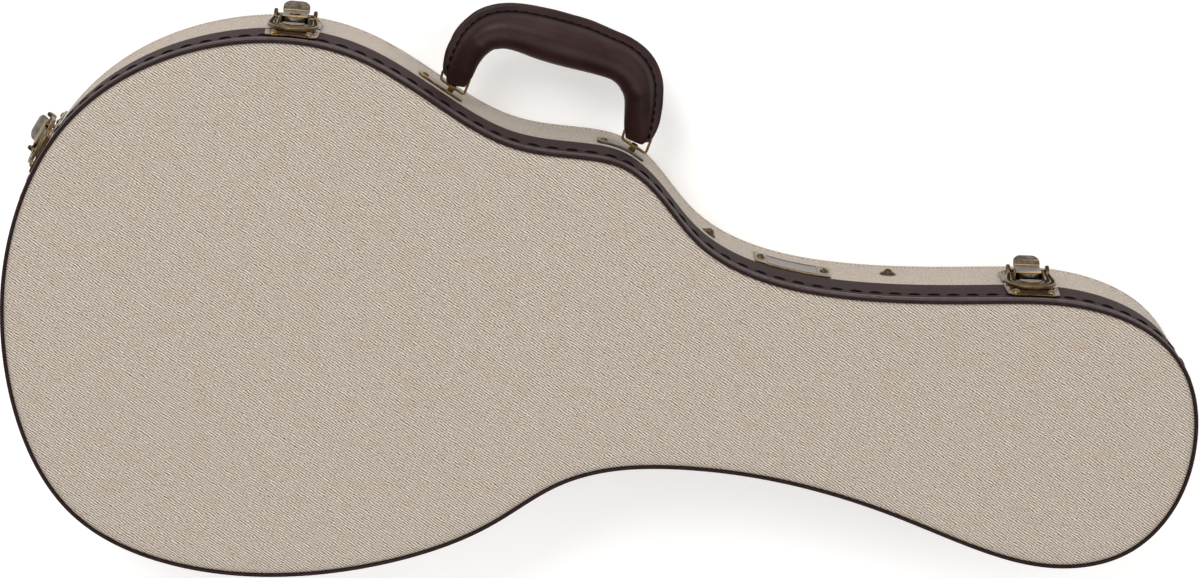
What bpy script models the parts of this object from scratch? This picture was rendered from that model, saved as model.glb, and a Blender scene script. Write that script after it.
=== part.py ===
"""Mandolin case: shaped hard shell, lying on its back, lid up, handle side towards -Y, hinges at +Y.

All dimensions below are millimetres; everything is placed in metres. The origin is the centre of the
plan outline on the bottom face. +X points to the wide (body) end, -X to the head end.
"""
import math

import bmesh
import bpy
import numpy as np
from mathutils import Matrix, Vector

MM = 0.001

# ------------------------------------------------------------------ driving dimensions (mm)
DEPTH = 114.0            # overall, bottom face to lid face
SEAM = 63.5              # height of the joint between body and lid
GAP = 0.3                # clearance between touching pieces
PANEL = 6.0              # bottom and lid face panels
WALL = 5.0               # plywood side walls
RIM_TOP = 71.5           # the inner rim stands 8 mm above the joint
LINING = 4.0             # padded plush on the body walls
PAD = 5.7                # floor pad
PER_STATION = 3          # outline points per station

# Plan outline, table of offsets (x, y), clockwise from the wide end: handle side, head, hinge side
STATIONS = [
    (386.5, 8), (379, -52), (350, -114), (294, -159), (217, -177), (155, -166), (100, -133), (56, -109),
    (14, -102), (-16, -95), (-40, -74), (-64, -45), (-104, -22), (-176, -9), (-250, -7.5), (-306, -5),
    (-356, 14), (-381, 45), (-386.5, 86), (-374, 130), (-343, 162), (-298, 171.5), (-250, 161), (-186, 135),
    (-112, 113), (-50, 105), (-6, 106.5), (30, 117.5), (68, 141), (118, 162.5), (213, 177), (298, 163),
    (346, 132.5), (376, 78),
]

# Latches, handle plates, plates and screws: nearest point of the outline
LATCHES = {"tail": (358, -102), "bout": (198.4, -176), "head": (-280, -7)}
HANDLE_PLATES = {"bout": (99, -131.5), "neck": (-20, -93)}
HANDLE_Z = 47.0
RING_AXIS_OUT = 3.7      # height of the ring axis above the wall
HINGES = {"bout": (213, 177), "head": (-298, 171.5)}
HINGE_OUT = 3.7
LEVER_PIVOT = (6.6, -4.5)    # latch frame: out from the wall, up from the joint
LOOP_PIVOT = (6.0, -15.5)
NECK_TILT = math.radians(9.2)    # the instrument lies at this slope in the case
NECK_V = 34.0

# ------------------------------------------------------------------ scene
for ob in list(bpy.data.objects):
    bpy.data.objects.remove(ob, do_unlink=True)

PARTS = bpy.data.collections.new("mandolin_case")
CUTTERS = bpy.data.collections.new("mandolin_case_cutters")
bpy.context.scene.collection.children.link(PARTS)
bpy.context.scene.collection.children.link(CUTTERS)


def material(name, color, rough, metal=0.0):
    m = bpy.data.materials.get(name)
    if m:
        return m
    m = bpy.data.materials.new(name)
    m.use_nodes = True
    bsdf = m.node_tree.nodes["Principled BSDF"]
    bsdf.inputs["Base Color"].default_value = (*color, 1.0)
    bsdf.inputs["Roughness"].default_value = rough
    bsdf.inputs["Metallic"].default_value = metal
    m.diffuse_color = (*color, 1.0)
    return m


LOOKS = {
    "cloth": ((0.60, 0.53, 0.45), 0.9, 0.0),
    "vinyl": ((0.085, 0.062, 0.060), 0.5, 0.0),
    "bead": ((0.060, 0.030, 0.030), 0.4, 0.0),
    "leather": ((0.036, 0.021, 0.020), 0.45, 0.0),
    "antique_brass": ((0.33, 0.29, 0.24), 0.35, 1.0),
    "gilt": ((0.60, 0.45, 0.20), 0.3, 1.0),
    "wood": ((0.55, 0.40, 0.24), 0.7, 0.0),
    "plush": ((0.075, 0.040, 0.030), 0.95, 0.0),
    "steel": ((0.45, 0.44, 0.42), 0.35, 1.0),
    "core": ((0.35, 0.27, 0.18), 0.8, 0.0),
}


def finish(ob, look):
    """Each object gets its own material, named for it."""
    color, rough, metal = LOOKS[look]
    ob.data.materials.clear()
    ob.data.materials.append(material(ob.name + "_" + look, color, rough, metal))
    return ob


# ------------------------------------------------------------------ outline
class Outline:
    """Periodic cubic through the stations; s counts stations."""

    def __init__(self, stations):
        p = np.array(stations, float)
        n = len(p)
        h = np.linalg.norm(np.roll(p, -1, 0) - p, axis=1) ** 0.75
        a = np.zeros((n, n))
        r = np.zeros((n, 2))
        for i in range(n):
            h0, h1 = h[i - 1], h[i]
            a[i, (i - 1) % n] = 1 / h0
            a[i, i] = 2 * (1 / h0 + 1 / h1)
            a[i, (i + 1) % n] = 1 / h1
            r[i] = 3 * ((p[i] - p[i - 1]) / h0 ** 2 + (p[(i + 1) % n] - p[i]) / h1 ** 2)
        self.p, self.h, self.m, self.n = p, h, np.linalg.solve(a, r), n

    def at(self, s):
        """Point and outward normal."""
        i = int(math.floor(s)) % self.n
        j = (i + 1) % self.n
        f = s - math.floor(s)
        h = self.h[i]
        pos = ((2 * f ** 3 - 3 * f ** 2 + 1) * self.p[i] + (f ** 3 - 2 * f ** 2 + f) * h * self.m[i]
               + (-2 * f ** 3 + 3 * f ** 2) * self.p[j] + (f ** 3 - f ** 2) * h * self.m[j])
        der = ((6 * f ** 2 - 6 * f) * self.p[i] / h + (3 * f ** 2 - 4 * f + 1) * self.m[i]
               + (-6 * f ** 2 + 6 * f) * self.p[j] / h + (3 * f ** 2 - 2 * f) * self.m[j])
        t = der / np.linalg.norm(der)
        return pos, np.array([-t[1], t[0]])

    def loop(self, inset, per=PER_STATION):
        """Closed polygon, inset inwards."""
        out = []
        for k in range(self.n * per):
            pos, nrm = self.at(k / per)
            out.append(tuple(pos - nrm * inset))
        return out

    def nearest(self, xy):
        s = np.arange(0, self.n, 0.02)
        d = [np.hypot(*(self.at(v)[0] - xy)) for v in s]
        k = s[int(np.argmin(d))]
        fine = np.arange(k - 0.03, k + 0.03, 0.001)
        d = [np.hypot(*(self.at(v)[0] - xy)) for v in fine]
        return float(fine[int(np.argmin(d))])

    def walk(self, s, distance):
        """Station value a signed distance along the outline from s."""
        step = 0.002 if distance > 0 else -0.002
        left = abs(distance)
        a = self.at(s)[0]
        while left > 0:
            s += step
            b = self.at(s)[0]
            left -= float(np.hypot(*(b - a)))
            a = b
        return s


PLAN = Outline(STATIONS)


# ------------------------------------------------------------------ helpers
def link(ob, where=None):
    (where or PARTS).objects.link(ob)
    return ob


def bake(ob, name=None):
    """Evaluated curve or modifier stack as one welded mesh object that keeps its place."""
    deps = bpy.context.evaluated_depsgraph_get()
    deps.update()
    mesh = bpy.data.meshes.new_from_object(ob.evaluated_get(deps))
    bm = bmesh.new()
    bm.from_mesh(mesh)
    bmesh.ops.remove_doubles(bm, verts=bm.verts, dist=1e-6)
    bmesh.ops.recalc_face_normals(bm, faces=bm.faces)
    bm.to_mesh(mesh)
    bm.free()
    name = name or ob.name
    matrix = ob.matrix_world.copy()
    bpy.data.objects.remove(ob, do_unlink=True)
    mesh.name = name
    new = link(bpy.data.objects.new(name, mesh))
    new.name = name
    new.matrix_world = matrix
    return new


def flat(name, loops, z0, z1, bevel=0.0, segments=0):
    """A flat outline (first loop outer, others holes), from z0 to z1."""
    cu = bpy.data.curves.new(name, "CURVE")
    cu.dimensions = "2D"
    cu.fill_mode = "BOTH"
    cu.extrude = ((z1 - z0) / 2 - bevel) * MM
    cu.bevel_depth = bevel * MM
    cu.bevel_resolution = segments
    cu.offset = -bevel * MM
    for loop in loops:
        sp = cu.splines.new("POLY")
        sp.points.add(len(loop) - 1)
        for pt, (x, y) in zip(sp.points, loop):
            pt.co = (x * MM, y * MM, 0.0, 1.0)
        sp.use_cyclic_u = True
    ob = link(bpy.data.objects.new(name, cu))
    ob.location.z = (z0 + z1) / 2 * MM
    bpy.context.view_layer.update()
    return bake(ob, name)


def prism(name, outline, depth0, depth1, plane):
    """A flat outline in a latch plane, extruded across it: plane 'side' is (out, up) along x,
    plane 'face' is (x, up) along out."""
    ob = flat(name, [outline], depth0, depth1)
    if plane == "side":      # flat x -> y, flat y -> z, flat z -> x
        m = Matrix(((0, 0, 1, 0), (1, 0, 0, 0), (0, 1, 0, 0), (0, 0, 0, 1)))
    else:                    # flat x -> x, flat y -> z, flat z -> y (mirrored, so turned inside out)
        m = Matrix(((1, 0, 0, 0), (0, 0, 1, 0), (0, 1, 0, 0), (0, 0, 0, 1)))
    ob.data.transform(m @ ob.matrix_world)
    if plane != "side":
        ob.data.flip_normals()
    ob.matrix_world = Matrix.Identity(4)
    return ob


def cylinder(name, p0, p1, radius, radius2=None, sides=12, turn=0.0):
    """A round bar between two points (mm)."""
    a, b = Vector(p0), Vector(p1)
    bm = bmesh.new()
    bmesh.ops.create_cone(bm, cap_ends=True, cap_tris=False, segments=sides, radius1=radius * MM,
                          radius2=(radius if radius2 is None else radius2) * MM, depth=(b - a).length * MM)
    mesh = bpy.data.meshes.new(name)
    bm.to_mesh(mesh)
    bm.free()
    rot = (b - a).to_track_quat("Z", "Y").to_matrix().to_4x4() @ Matrix.Rotation(turn, 4, "Z")
    mesh.transform(Matrix.Translation((a + b) / 2 * MM) @ rot)
    return link(bpy.data.objects.new(name, mesh))


def box(name, low, high):
    bm = bmesh.new()
    bmesh.ops.create_cube(bm, size=1.0)
    mesh = bpy.data.meshes.new(name)
    bm.to_mesh(mesh)
    bm.free()
    lo, hi = Vector(low) * MM, Vector(high) * MM
    mesh.transform(Matrix.Translation((lo + hi) / 2) @ Matrix.Diagonal((*(hi - lo), 1)))
    return link(bpy.data.objects.new(name, mesh))


def combine(ob, others, how):
    """Boolean of world-space meshes, baked; the cutters are used up."""
    for cutter in others:
        CUTTERS.objects.link(cutter)
        PARTS.objects.unlink(cutter)
        cutter.hide_render = True
        cutter.display_type = "WIRE"
        mod = ob.modifiers.new("bool", "BOOLEAN")
        mod.operation = how
        mod.solver = "EXACT"
        mod.object = cutter
    bpy.context.view_layer.update()
    new = bake(ob)
    for cutter in others:
        bpy.data.objects.remove(cutter, do_unlink=True)
    return new


def place(ob, frame, pivot=(0.0, 0.0, 0.0), parent=None):
    """Move a piece built in a local frame so that its origin is the pivot of that frame."""
    p = Vector(pivot) * MM
    ob.data.transform(Matrix.Translation(-p))
    world = frame @ Matrix.Translation(p)
    if parent:
        ob.parent = parent
        ob.matrix_parent_inverse = parent.matrix_world.inverted()
    ob.matrix_world = world
    return ob


def axis_empty(name, matrix):
    ob = bpy.data.objects.new(name, None)
    ob.empty_display_size = 0.02
    PARTS.objects.link(ob)
    ob.matrix_world = matrix
    bpy.context.view_layer.update()
    return ob


def wall_frame(xy, z, out=0.0):
    """Frame on the side wall: local +Y out of the wall, +Z up, +X along the wall."""
    s = PLAN.nearest(np.array(xy, float))
    pos, nrm = PLAN.at(s)
    pos = pos + nrm * out
    rot = Matrix(((nrm[1], nrm[0], 0, 0), (-nrm[0], nrm[1], 0, 0), (0, 0, 1, 0), (0, 0, 0, 1)))
    return Matrix.Translation((pos[0] * MM, pos[1] * MM, z * MM)) @ rot, s


def strip(name, s, half, out0, out1, z0, z1):
    """A plate bent to the wall: between two offsets of the outline, half a length each way from s."""
    ring = flat(name, [PLAN.loop(-out1), PLAN.loop(-out0)], z0, z1)
    pos, nrm = PLAN.at(s)
    cut = box("span", (-half, -30, -10), (half, 30, 200))
    cut.matrix_world = Matrix.Translation((pos[0] * MM, pos[1] * MM, 0)) @ Matrix.Rotation(
        math.atan2(-nrm[0], nrm[1]), 4, "Z")
    return combine(ring, [cut], "INTERSECT")


def arc(cx, cy, rx, ry, a0, a1, n):
    return [(cx + rx * math.cos(math.radians(a0 + (a1 - a0) * k / n)),
             cy + ry * math.sin(math.radians(a0 + (a1 - a0) * k / n))) for k in range(n + 1)]


def rounded(x0, y0, x1, y1, r, n=3):
    return (arc(x1 - r, y1 - r, r, r, 0, 90, n) + arc(x0 + r, y1 - r, r, r, 90, 180, n)
            + arc(x0 + r, y0 + r, r, r, 180, 270, n) + arc(x1 - r, y0 + r, r, r, 270, 360, n))


# ------------------------------------------------------------------ shell of the body
finish(flat("body_bottom_panel", [PLAN.loop(0.8)], 0.0, PANEL, bevel=2.4, segments=1), "cloth")
finish(flat("body_side_wall", [PLAN.loop(0.8), PLAN.loop(0.8 + WALL)], PANEL + GAP, SEAM - GAP), "cloth")
RIM_OUT, RIM_IN = 6.5, 8.5
finish(flat("body_inner_rim", [PLAN.loop(RIM_OUT), PLAN.loop(RIM_IN)], PANEL + GAP, RIM_TOP), "wood")
LIN_OUT = RIM_IN + GAP
LIN_IN = LIN_OUT + LINING
FLOOR = PANEL + GAP + PAD
finish(flat("body_floor_pad", [PLAN.loop(LIN_OUT)], PANEL + GAP, FLOOR), "plush")
finish(flat("body_wall_lining", [PLAN.loop(LIN_OUT), PLAN.loop(LIN_IN)], FLOOR + GAP, SEAM + 2.0), "plush")

# ------------------------------------------------------------------ lid, turning on the hinge axis
hinge_a, _ = wall_frame(HINGES["bout"], SEAM, HINGE_OUT)
hinge_b, _ = wall_frame(HINGES["head"], SEAM, HINGE_OUT)
HA, HB = hinge_a.translation / MM, hinge_b.translation / MM
hinge_dir = (HA - HB).normalized()
hinge_frame = Matrix.Translation((HA + HB) / 2 * MM) @ Matrix.Rotation(math.atan2(hinge_dir.y, hinge_dir.x), 4, "Z")
LID_AXIS = axis_empty("axis_lid", hinge_frame)


def on_lid(ob):
    """Give a world-space piece the lid axis as its origin and parent."""
    m = LID_AXIS.matrix_world.inverted() @ ob.matrix_world
    ob.data.transform(m)
    ob.parent = LID_AXIS
    ob.matrix_parent_inverse = Matrix.Identity(4)
    ob.matrix_basis = Matrix.Identity(4)
    return ob


BEAD = 2.6
LID_PANEL_Z = DEPTH - PANEL
on_lid(finish(flat("lid_top_panel", [PLAN.loop(BEAD + GAP)], LID_PANEL_Z, DEPTH), "cloth"))
on_lid(finish(flat("lid_side_wall", [PLAN.loop(1.5), PLAN.loop(1.5 + WALL - 1.0)], SEAM, LID_PANEL_Z - GAP), "wood"))
on_lid(finish(flat("lid_band", [PLAN.loop(0.0), PLAN.loop(1.2)], SEAM, DEPTH - 3.3), "vinyl"))
on_lid(finish(flat("lid_wall_lining", [PLAN.loop(5.8), PLAN.loop(8.8)], RIM_TOP + 1.0, LID_PANEL_Z - 6.6), "plush"))
on_lid(finish(flat("lid_lining_pad", [PLAN.loop(5.8)], LID_PANEL_Z - 6.3, LID_PANEL_Z - GAP), "plush"))

# edge bead: a ring of rounded section round the lid face, drawn as two flat rings and a bevelled corner
bead = flat("lid_edge_bead", [PLAN.loop(0.0), PLAN.loop(BEAD)], DEPTH - 3.0, DEPTH + 0.2)
bm = bmesh.new()
bm.from_mesh(bead.data)
top = max(v.co.z for v in bm.verts)
outer = {(round(x * MM, 5), round(y * MM, 5)) for x, y in PLAN.loop(0.0)}
ring = [e for e in bm.edges if all(abs(v.co.z - top) < 1e-6 and (round(v.co.x, 5), round(v.co.y, 5)) in outer
                                  for v in e.verts)]
bmesh.ops.bevel(bm, geom=ring, offset=1.5 * MM, segments=1, affect="EDGES")
bm.to_mesh(bead.data)
bm.free()
on_lid(finish(bead, "bead"))

# ------------------------------------------------------------------ interior: neck cradle and compartment
U = Vector((math.cos(NECK_TILT), -math.sin(NECK_TILT), 0))
V = Vector((math.sin(NECK_TILT), math.cos(NECK_TILT), 0))
INSIDE = LIN_IN + 0.4
neck_frame = Matrix(((U.x, V.x, 0, 0), (U.y, V.y, 0, 0), (0, 0, 1, 0), (0, 0, 0, 1)))


def inner_block(name, u0, u1, v0, v1, z0, z1, look, inset=INSIDE):
    """A block square to the neck, trimmed to the lining."""
    ob = flat(name, [[(x, y) for x, y in PLAN.loop(inset)]], z0, z1)
    cut = box(name + "_trim", (u0, v0, -5), (u1, v1, 200))
    cut.matrix_world = neck_frame
    return finish(combine(ob, [cut], "INTERSECT"), look)


CRADLE_U = (-75.0, -57.0)
END_U = (-190.0, -182.0)
BOX_TOP = 36.0
RAIL_V = 74.0
BASE_Z = FLOOR + GAP
cradle = inner_block("neck_cradle", *CRADLE_U, -200, 200, BASE_Z, 57.0, "plush")
notch = cylinder("notch", (-90, NECK_V, 61.0), (-40, NECK_V, 61.0), 18.0, sides=24)
notch.matrix_world = neck_frame
cradle = finish(combine(cradle, [notch], "DIFFERENCE"), "plush")
inner_block("compartment_end_wall", *END_U, -200, RAIL_V - 0.6, BASE_Z, BOX_TOP, "plush")
inner_block("compartment_hinge_rail", END_U[0], CRADLE_U[0] - 0.4, RAIL_V, 200, BASE_Z, BOX_TOP + 4.4, "plush")

comp_axis = Vector((0, RAIL_V - GAP, BOX_TOP + 0.4 + 4.0 + GAP)) * MM
COMP_AXIS = axis_empty("axis_compartment_lid", neck_frame @ Matrix.Translation(comp_axis))


def on_compartment(ob):
    ob.data.transform(COMP_AXIS.matrix_world.inverted() @ ob.matrix_world)
    ob.parent = COMP_AXIS
    ob.matrix_parent_inverse = Matrix.Identity(4)
    ob.matrix_basis = Matrix.Identity(4)
    return ob


on_compartment(inner_block("compartment_lid", END_U[0], CRADLE_U[0] - 0.5, -200, RAIL_V - 2 * GAP,
                           BOX_TOP + 0.4, BOX_TOP + 4.4, "plush", inset=INSIDE + 1.5))
tab = box("compartment_pull_tab", (-140, -18, BOX_TOP + 4.7), (-126, -16, BOX_TOP + 14.0))
tab.matrix_world = neck_frame
on_compartment(finish(bake(tab), "leather"))

# ------------------------------------------------------------------ latches
PLATE = 1.2
PIN = 1.1
HOLE = 1.4


def rivet(x, up, out, r=2.3, h=1.1):
    return cylinder("rivet", (x, out - 0.4, up), (x, out + h, up), r, r * 0.55, sides=8)


def build_latch(key):
    frame, _ = wall_frame(LATCHES[key], SEAM)
    py, pz = LEVER_PIVOT
    ly, lz = LOOP_PIVOT
    out0 = GAP
    out1 = GAP + PLATE
    # base plate with two cheeks for the lever pin
    base = prism("latch_base_" + key, rounded(-17.2, -36, 17.2, -1, 5.0), out0, out1, "face")
    cheek = [(out0 + 0.4, -9.5), (out0 + 0.4, -1.2), (py + 1.0, -1.2), (py + 2.2, -3.0), (py + 2.2, -6.0),
             (py + 1.0, -7.8)]
    left = prism("cheek_l", cheek, -10.0, -8.8, "side")
    right = prism("cheek_r", cheek, 8.8, 10.0, "side")
    base = combine(base, [left, right] + [rivet(x, z, out1) for x, z in
                                         ((-13.6, -7), (13.6, -7), (-13.6, -31), (13.6, -31))], "UNION")
    base = combine(base, [cylinder("c", (-30, py, pz), (30, py, pz), HOLE)], "DIFFERENCE")
    place(finish(base, "antique_brass"), frame)
    pin = cylinder("lever_pin_" + key, (-10.6, py, pz), (10.6, py, pz), PIN)
    place(finish(pin, "gilt"), frame)
    # catch plate on the lid
    catch = prism("catch_plate_" + key, [(-17.2, 4)] + [(17.2, 4), (17.2, 21)]
                  + arc(11.2, 33, 4.5, 6.5, 0, 90, 3) + arc(-11.2, 33, 4.5, 6.5, 90, 180, 3)
                  + [(-17.2, 21)], out0, out1, "face")
    boss = prism("boss", arc(0, 6.0, 9.6, 12.4, 0, 180, 10), out1 - 0.4, out1 + 3.4, "face")
    catch = combine(catch, [boss] + [rivet(x, 19.5, out1, 1.5, 0.8) for x in (-15.5, 15.5)]
                    + [rivet(x, 30.5, out1) for x in (-11.6, 11.6)], "UNION")
    catch = finish(catch, "antique_brass")
    place(catch, frame)
    on_lid(catch)
    # lever: side profile crossed with its plan outline
    lever_axis = axis_empty("axis_latch_lever_" + key, frame @ Matrix.Translation(Vector((0, py, pz)) * MM))
    side = [(2.3, -5.5), (3.0, -1.9), (5.2, -0.5), (7.4, -0.9), (8.5, -3.2), (8.7, -6.4), (9.7, -7.4), (10.2, -19.4),
            (9.6, -20.6), (10.4, -21.6), (13.4, -29.6), (12.6, -30.2), (9.0, -22.4), (7.6, -20.2), (2.3, -19.6)]
    half = [(0, -0.2), (5.6, -0.4), (8.2, -3.0), (8.2, -8.0), (7.2, -9.2), (7.2, -19.8), (8.5, -21.0), (8.5, -25.0),
            (7.2, -28.0), (4.2, -29.9), (0, -30.6)]
    plan = half + [(-x, z) for x, z in half[-2:0:-1]]
    lever = prism("latch_lever_" + key, side, -9.0, 9.0, "side")
    lever = combine(lever, [prism("plan", plan, 0.0, 20.0, "face")], "INTERSECT")
    holes = [cylinder("c", (-30, py, pz), (30, py, pz), HOLE), cylinder("c", (-30, ly, lz), (30, ly, lz), HOLE)]
    if key == "bout":
        holes.append(cylinder("c", (0, 4.5, -10.3), (0, 20, -10.3), 3.0, sides=14))
    lever = combine(lever, holes, "DIFFERENCE")
    place(finish(lever, "antique_brass"), frame, (0, py, pz), lever_axis)
    if key == "bout":
        lock = cylinder("lock_cylinder", (0, 4.9, -10.3), (0, 10.5, -10.3), 2.6, sides=14)
        lock = combine(lock, [box("slot", (-0.5, 9.3, -12.0), (0.5, 12, -8.6))], "DIFFERENCE")
        place(finish(lock, "gilt"), frame, (0, 4.9, -10.3), lever_axis)
    # loop: U-shaped strap round the lever, its ends up as ears on the loop pin
    loop_axis = axis_empty("axis_latch_loop_" + key, frame @ Matrix.Translation(Vector((0, ly, lz)) * MM))
    outer = [(-13.9, -13.0), (-15.6, 4.0), (-16.6, 10.0)] + arc(0, 9.5, 16.6, 16.6, 172, 8, 10) \
        + [(16.6, 10.0), (15.6, 4.0), (13.9, -13.0)]
    inner = [(11.4, -13.0), (12.4, 4.0)] + arc(0, 7.0, 12.2, 13.2, 0, 180, 10) + [(-12.4, 4.0), (-11.4, -13.0)]
    tilt = math.atan2(2.0, 36.0)
    body = prism("latch_loop_" + key, outer + inner, -1.4, 1.4, "face")
    body.data.transform(Matrix.Translation(Vector((0, 3.25, 21.2)) * MM) @ Matrix.Rotation(tilt, 4, "X")
                        @ Matrix.Translation(Vector((0, 0, -21.2)) * MM))
    ear = [(ly - 2.4, lz - 1.6), (ly - 0.6, lz - 3.0), (ly + 1.6, lz - 3.0), (ly + 4.0, lz - 2.0), (ly + 4.3, lz),
           (ly + 2.6, lz + 3.2), (ly - 0.9, lz + 6.0), (ly - 2.9, lz + 3.0)]
    ears = [prism("ear_l", ear, -13.9, -11.5, "side"), prism("ear_r", ear, 11.5, 13.9, "side")]
    body = combine(body, ears, "UNION")
    body = combine(body, [cylinder("c", (-30, ly, lz), (30, ly, lz), HOLE)], "DIFFERENCE")
    place(finish(body, "antique_brass"), frame, (0, ly, lz), loop_axis)
    pin = cylinder("loop_pin_" + key, (-14.4, ly, lz), (14.4, ly, lz), PIN)
    place(finish(pin, "gilt"), frame, (0, ly, lz), loop_axis)
    loop_axis.parent = lever_axis
    loop_axis.matrix_parent_inverse = lever_axis.matrix_world.inverted()


for key in LATCHES:
    build_latch(key)

# ------------------------------------------------------------------ handle
fa, sa = wall_frame(HANDLE_PLATES["bout"], HANDLE_Z)
fb, sb = wall_frame(HANDLE_PLATES["neck"], HANDLE_Z)
na, nb = PLAN.at(sa)[1], PLAN.at(sb)[1]
EYE_A = fa.translation / MM + Vector((*na, 0)) * RING_AXIS_OUT
EYE_B = fb.translation / MM + Vector((*nb, 0)) * RING_AXIS_OUT
axis_dir = (EYE_A - EYE_B).normalized()
away = Vector((axis_dir.y, -axis_dir.x, 0))          # out of the wall, square to the axis
RING_AXIS = axis_empty("axis_handle_rings", Matrix.Translation((EYE_A + EYE_B) / 2 * MM)
                       @ Matrix.Rotation(math.atan2(axis_dir.y, axis_dir.x), 4, "Z"))
RING_RISE = 9.0
HANDLE_AXIS = axis_empty("axis_handle", Matrix.Translation(((EYE_A + EYE_B) / 2 + away * RING_RISE) * MM)
                         @ Matrix.Rotation(math.atan2(axis_dir.y, axis_dir.x), 4, "Z"))


def ride_axis(ob, empty):
    ob.data.transform(empty.matrix_world.inverted() @ ob.matrix_world)
    ob.parent = empty
    ob.matrix_parent_inverse = Matrix.Identity(4)
    ob.matrix_basis = Matrix.Identity(4)
    return ob


for key, s, eye, frame in (("bout", sa, EYE_A, fa), ("neck", sb, EYE_B, fb)):
    nrm = PLAN.at(s)[1]
    tang = Vector((nrm[1], -nrm[0], 0))
    n3 = Vector((*nrm, 0))
    plate = strip("handle_plate_" + key, s, 22.0, -0.8 + GAP, -0.8 + GAP + 1.4, HANDLE_Z - 7.0, HANDLE_Z + 7.0)
    web = box("web", (-2.7, 0.0, -2.5), (2.7, 2.6, 2.5))
    web.matrix_world = frame
    bits = [cylinder("saddle", eye - tang * 3.0, eye + tang * 3.0, 3.0, sides=14), web]
    for side in (-17.5, 17.5):
        pos, nn = PLAN.at(PLAN.walk(s, side))
        p = Vector((*pos, HANDLE_Z))
        q = Vector((*nn, 0))
        bits.append(cylinder("rivet", p + q * 0.4, p + q * 2.0, 2.4, 1.3, sides=8))
    plate = combine(plate, bits, "UNION")
    plate = combine(plate, [cylinder("c", eye - tang * 8.0, eye + tang * 8.0, 2.25, sides=14)], "DIFFERENCE")
    finish(plate, "gilt")
    # wire ring: lower bar in the eye along the wall, upper bar on the handle axis
    top = eye + away * RING_RISE
    half_low, half_top = 9.4, 9.6
    corners = [eye - tang * half_low, eye + tang * half_low, top + axis_dir * half_top, top - axis_dir * half_top]
    if (corners[1] - corners[2]).length > (corners[1] - corners[3]).length:
        corners[2], corners[3] = corners[3], corners[2]
    pts = []
    for k in range(4):
        c, before, after = corners[k], corners[k - 1], corners[(k + 1) % 4]
        r = 2.0
        a = c + (before - c).normalized() * r
        b = c + (after - c).normalized() * r
        pts += [a, (a + b) / 2 * 0.5 + c * 0.5, b]
    cu = bpy.data.curves.new("handle_ring_" + key, "CURVE")
    cu.dimensions = "3D"
    cu.bevel_depth = 1.05 * MM
    cu.bevel_resolution = 1
    sp = cu.splines.new("POLY")
    sp.points.add(len(pts) - 1)
    for pt, p in zip(sp.points, pts):
        pt.co = (*(p * MM), 1.0)
    sp.use_cyclic_u = True
    ring = bake(link(bpy.data.objects.new("handle_ring_" + key, cu)))
    ride_axis(finish(ring, "gilt"), RING_AXIS)

# grip centreline (x, y) with its radius, from the wide end to the neck end
GRIP = [(94.8, -139.6, 7.2), (92.6, -145.4, 8.2), (88.3, -153.3, 9.5), (85.3, -158.6, 9.9), (81.6, -164.0, 10.7),
        (76.7, -168.5, 11.2), (71.0, -171.6, 12.0), (62.4, -173.1, 12.6), (51.5, -171.8, 13.5), (37.4, -167.9, 14.7),
        (24.4, -164.2, 14.9), (12.0, -160.8, 14.6), (-0.8, -156.4, 13.5), (-12.1, -151.9, 12.9), (-19.9, -145.6, 12.6),
        (-24.3, -137.1, 11.8), (-25.7, -128.6, 10.5), (-25.3, -119.5, 9.9), (-24.6, -111.1, 8.9), (-24.0, -105.6, 7.8),
        (-23.2, -101.1, 7.2)]
FLATTEN = 0.58           # the ends of the grip are pressed flat across the ring


def tube(name, points, radii, sides_res=2, closed=False):
    cu = bpy.data.curves.new(name, "CURVE")
    cu.dimensions = "3D"
    cu.use_fill_caps = True
    cu.bevel_depth = 1.0 * MM
    cu.bevel_resolution = sides_res
    sp = cu.splines.new("POLY")
    sp.points.add(len(points) - 1)
    for pt, p, r in zip(sp.points, points, radii):
        pt.co = (*(Vector(p) * MM), 1.0)
        pt.radius = r
    return bake(link(bpy.data.objects.new(name, cu)))


def press_ends(ob, z):
    """Flatten the tube in height towards both ends."""
    for v in ob.data.vertices:
        x, y, zz = v.co / MM
        reach = min((Vector((x, y)) - Vector(GRIP[0][:2])).length, (Vector((x, y)) - Vector(GRIP[-1][:2])).length)
        f = FLATTEN + (1 - FLATTEN) * min(1.0, max(0.0, (reach - 6.0) / 26.0))
        v.co.z = (z + (zz - z) * f) * MM
    return ob


path = [(x, y, HANDLE_Z) for x, y, r in GRIP]
grip = press_ends(tube("handle_grip", path, [r for x, y, r in GRIP], 2), HANDLE_Z)
long_path = [tuple(Vector(path[0]) * 1.6 - Vector(path[1]) * 0.6)] + path[1:-1] + \
    [tuple(Vector(path[-1]) * 1.6 - Vector(path[-2]) * 0.6)]
bore = press_ends(tube("bore", long_path, [r - 2.4 for x, y, r in GRIP], 1), HANDLE_Z)
grip = combine(grip, [bore], "DIFFERENCE")
core = press_ends(tube("handle_core", path, [r - 2.9 for x, y, r in GRIP], 1), HANDLE_Z)
TOP_A, TOP_B = EYE_A + away * RING_RISE, EYE_B + away * RING_RISE
for eye in (TOP_A, TOP_B):
    grip = combine(grip, [cylinder("c", eye - axis_dir * 20, eye + axis_dir * 20, 1.6)], "DIFFERENCE")
    core = combine(core, [cylinder("c", eye - axis_dir * 20, eye + axis_dir * 20, 1.6)], "DIFFERENCE")
ride_axis(finish(grip, "leather"), HANDLE_AXIS)
ride_axis(finish(core, "core"), HANDLE_AXIS)
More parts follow.
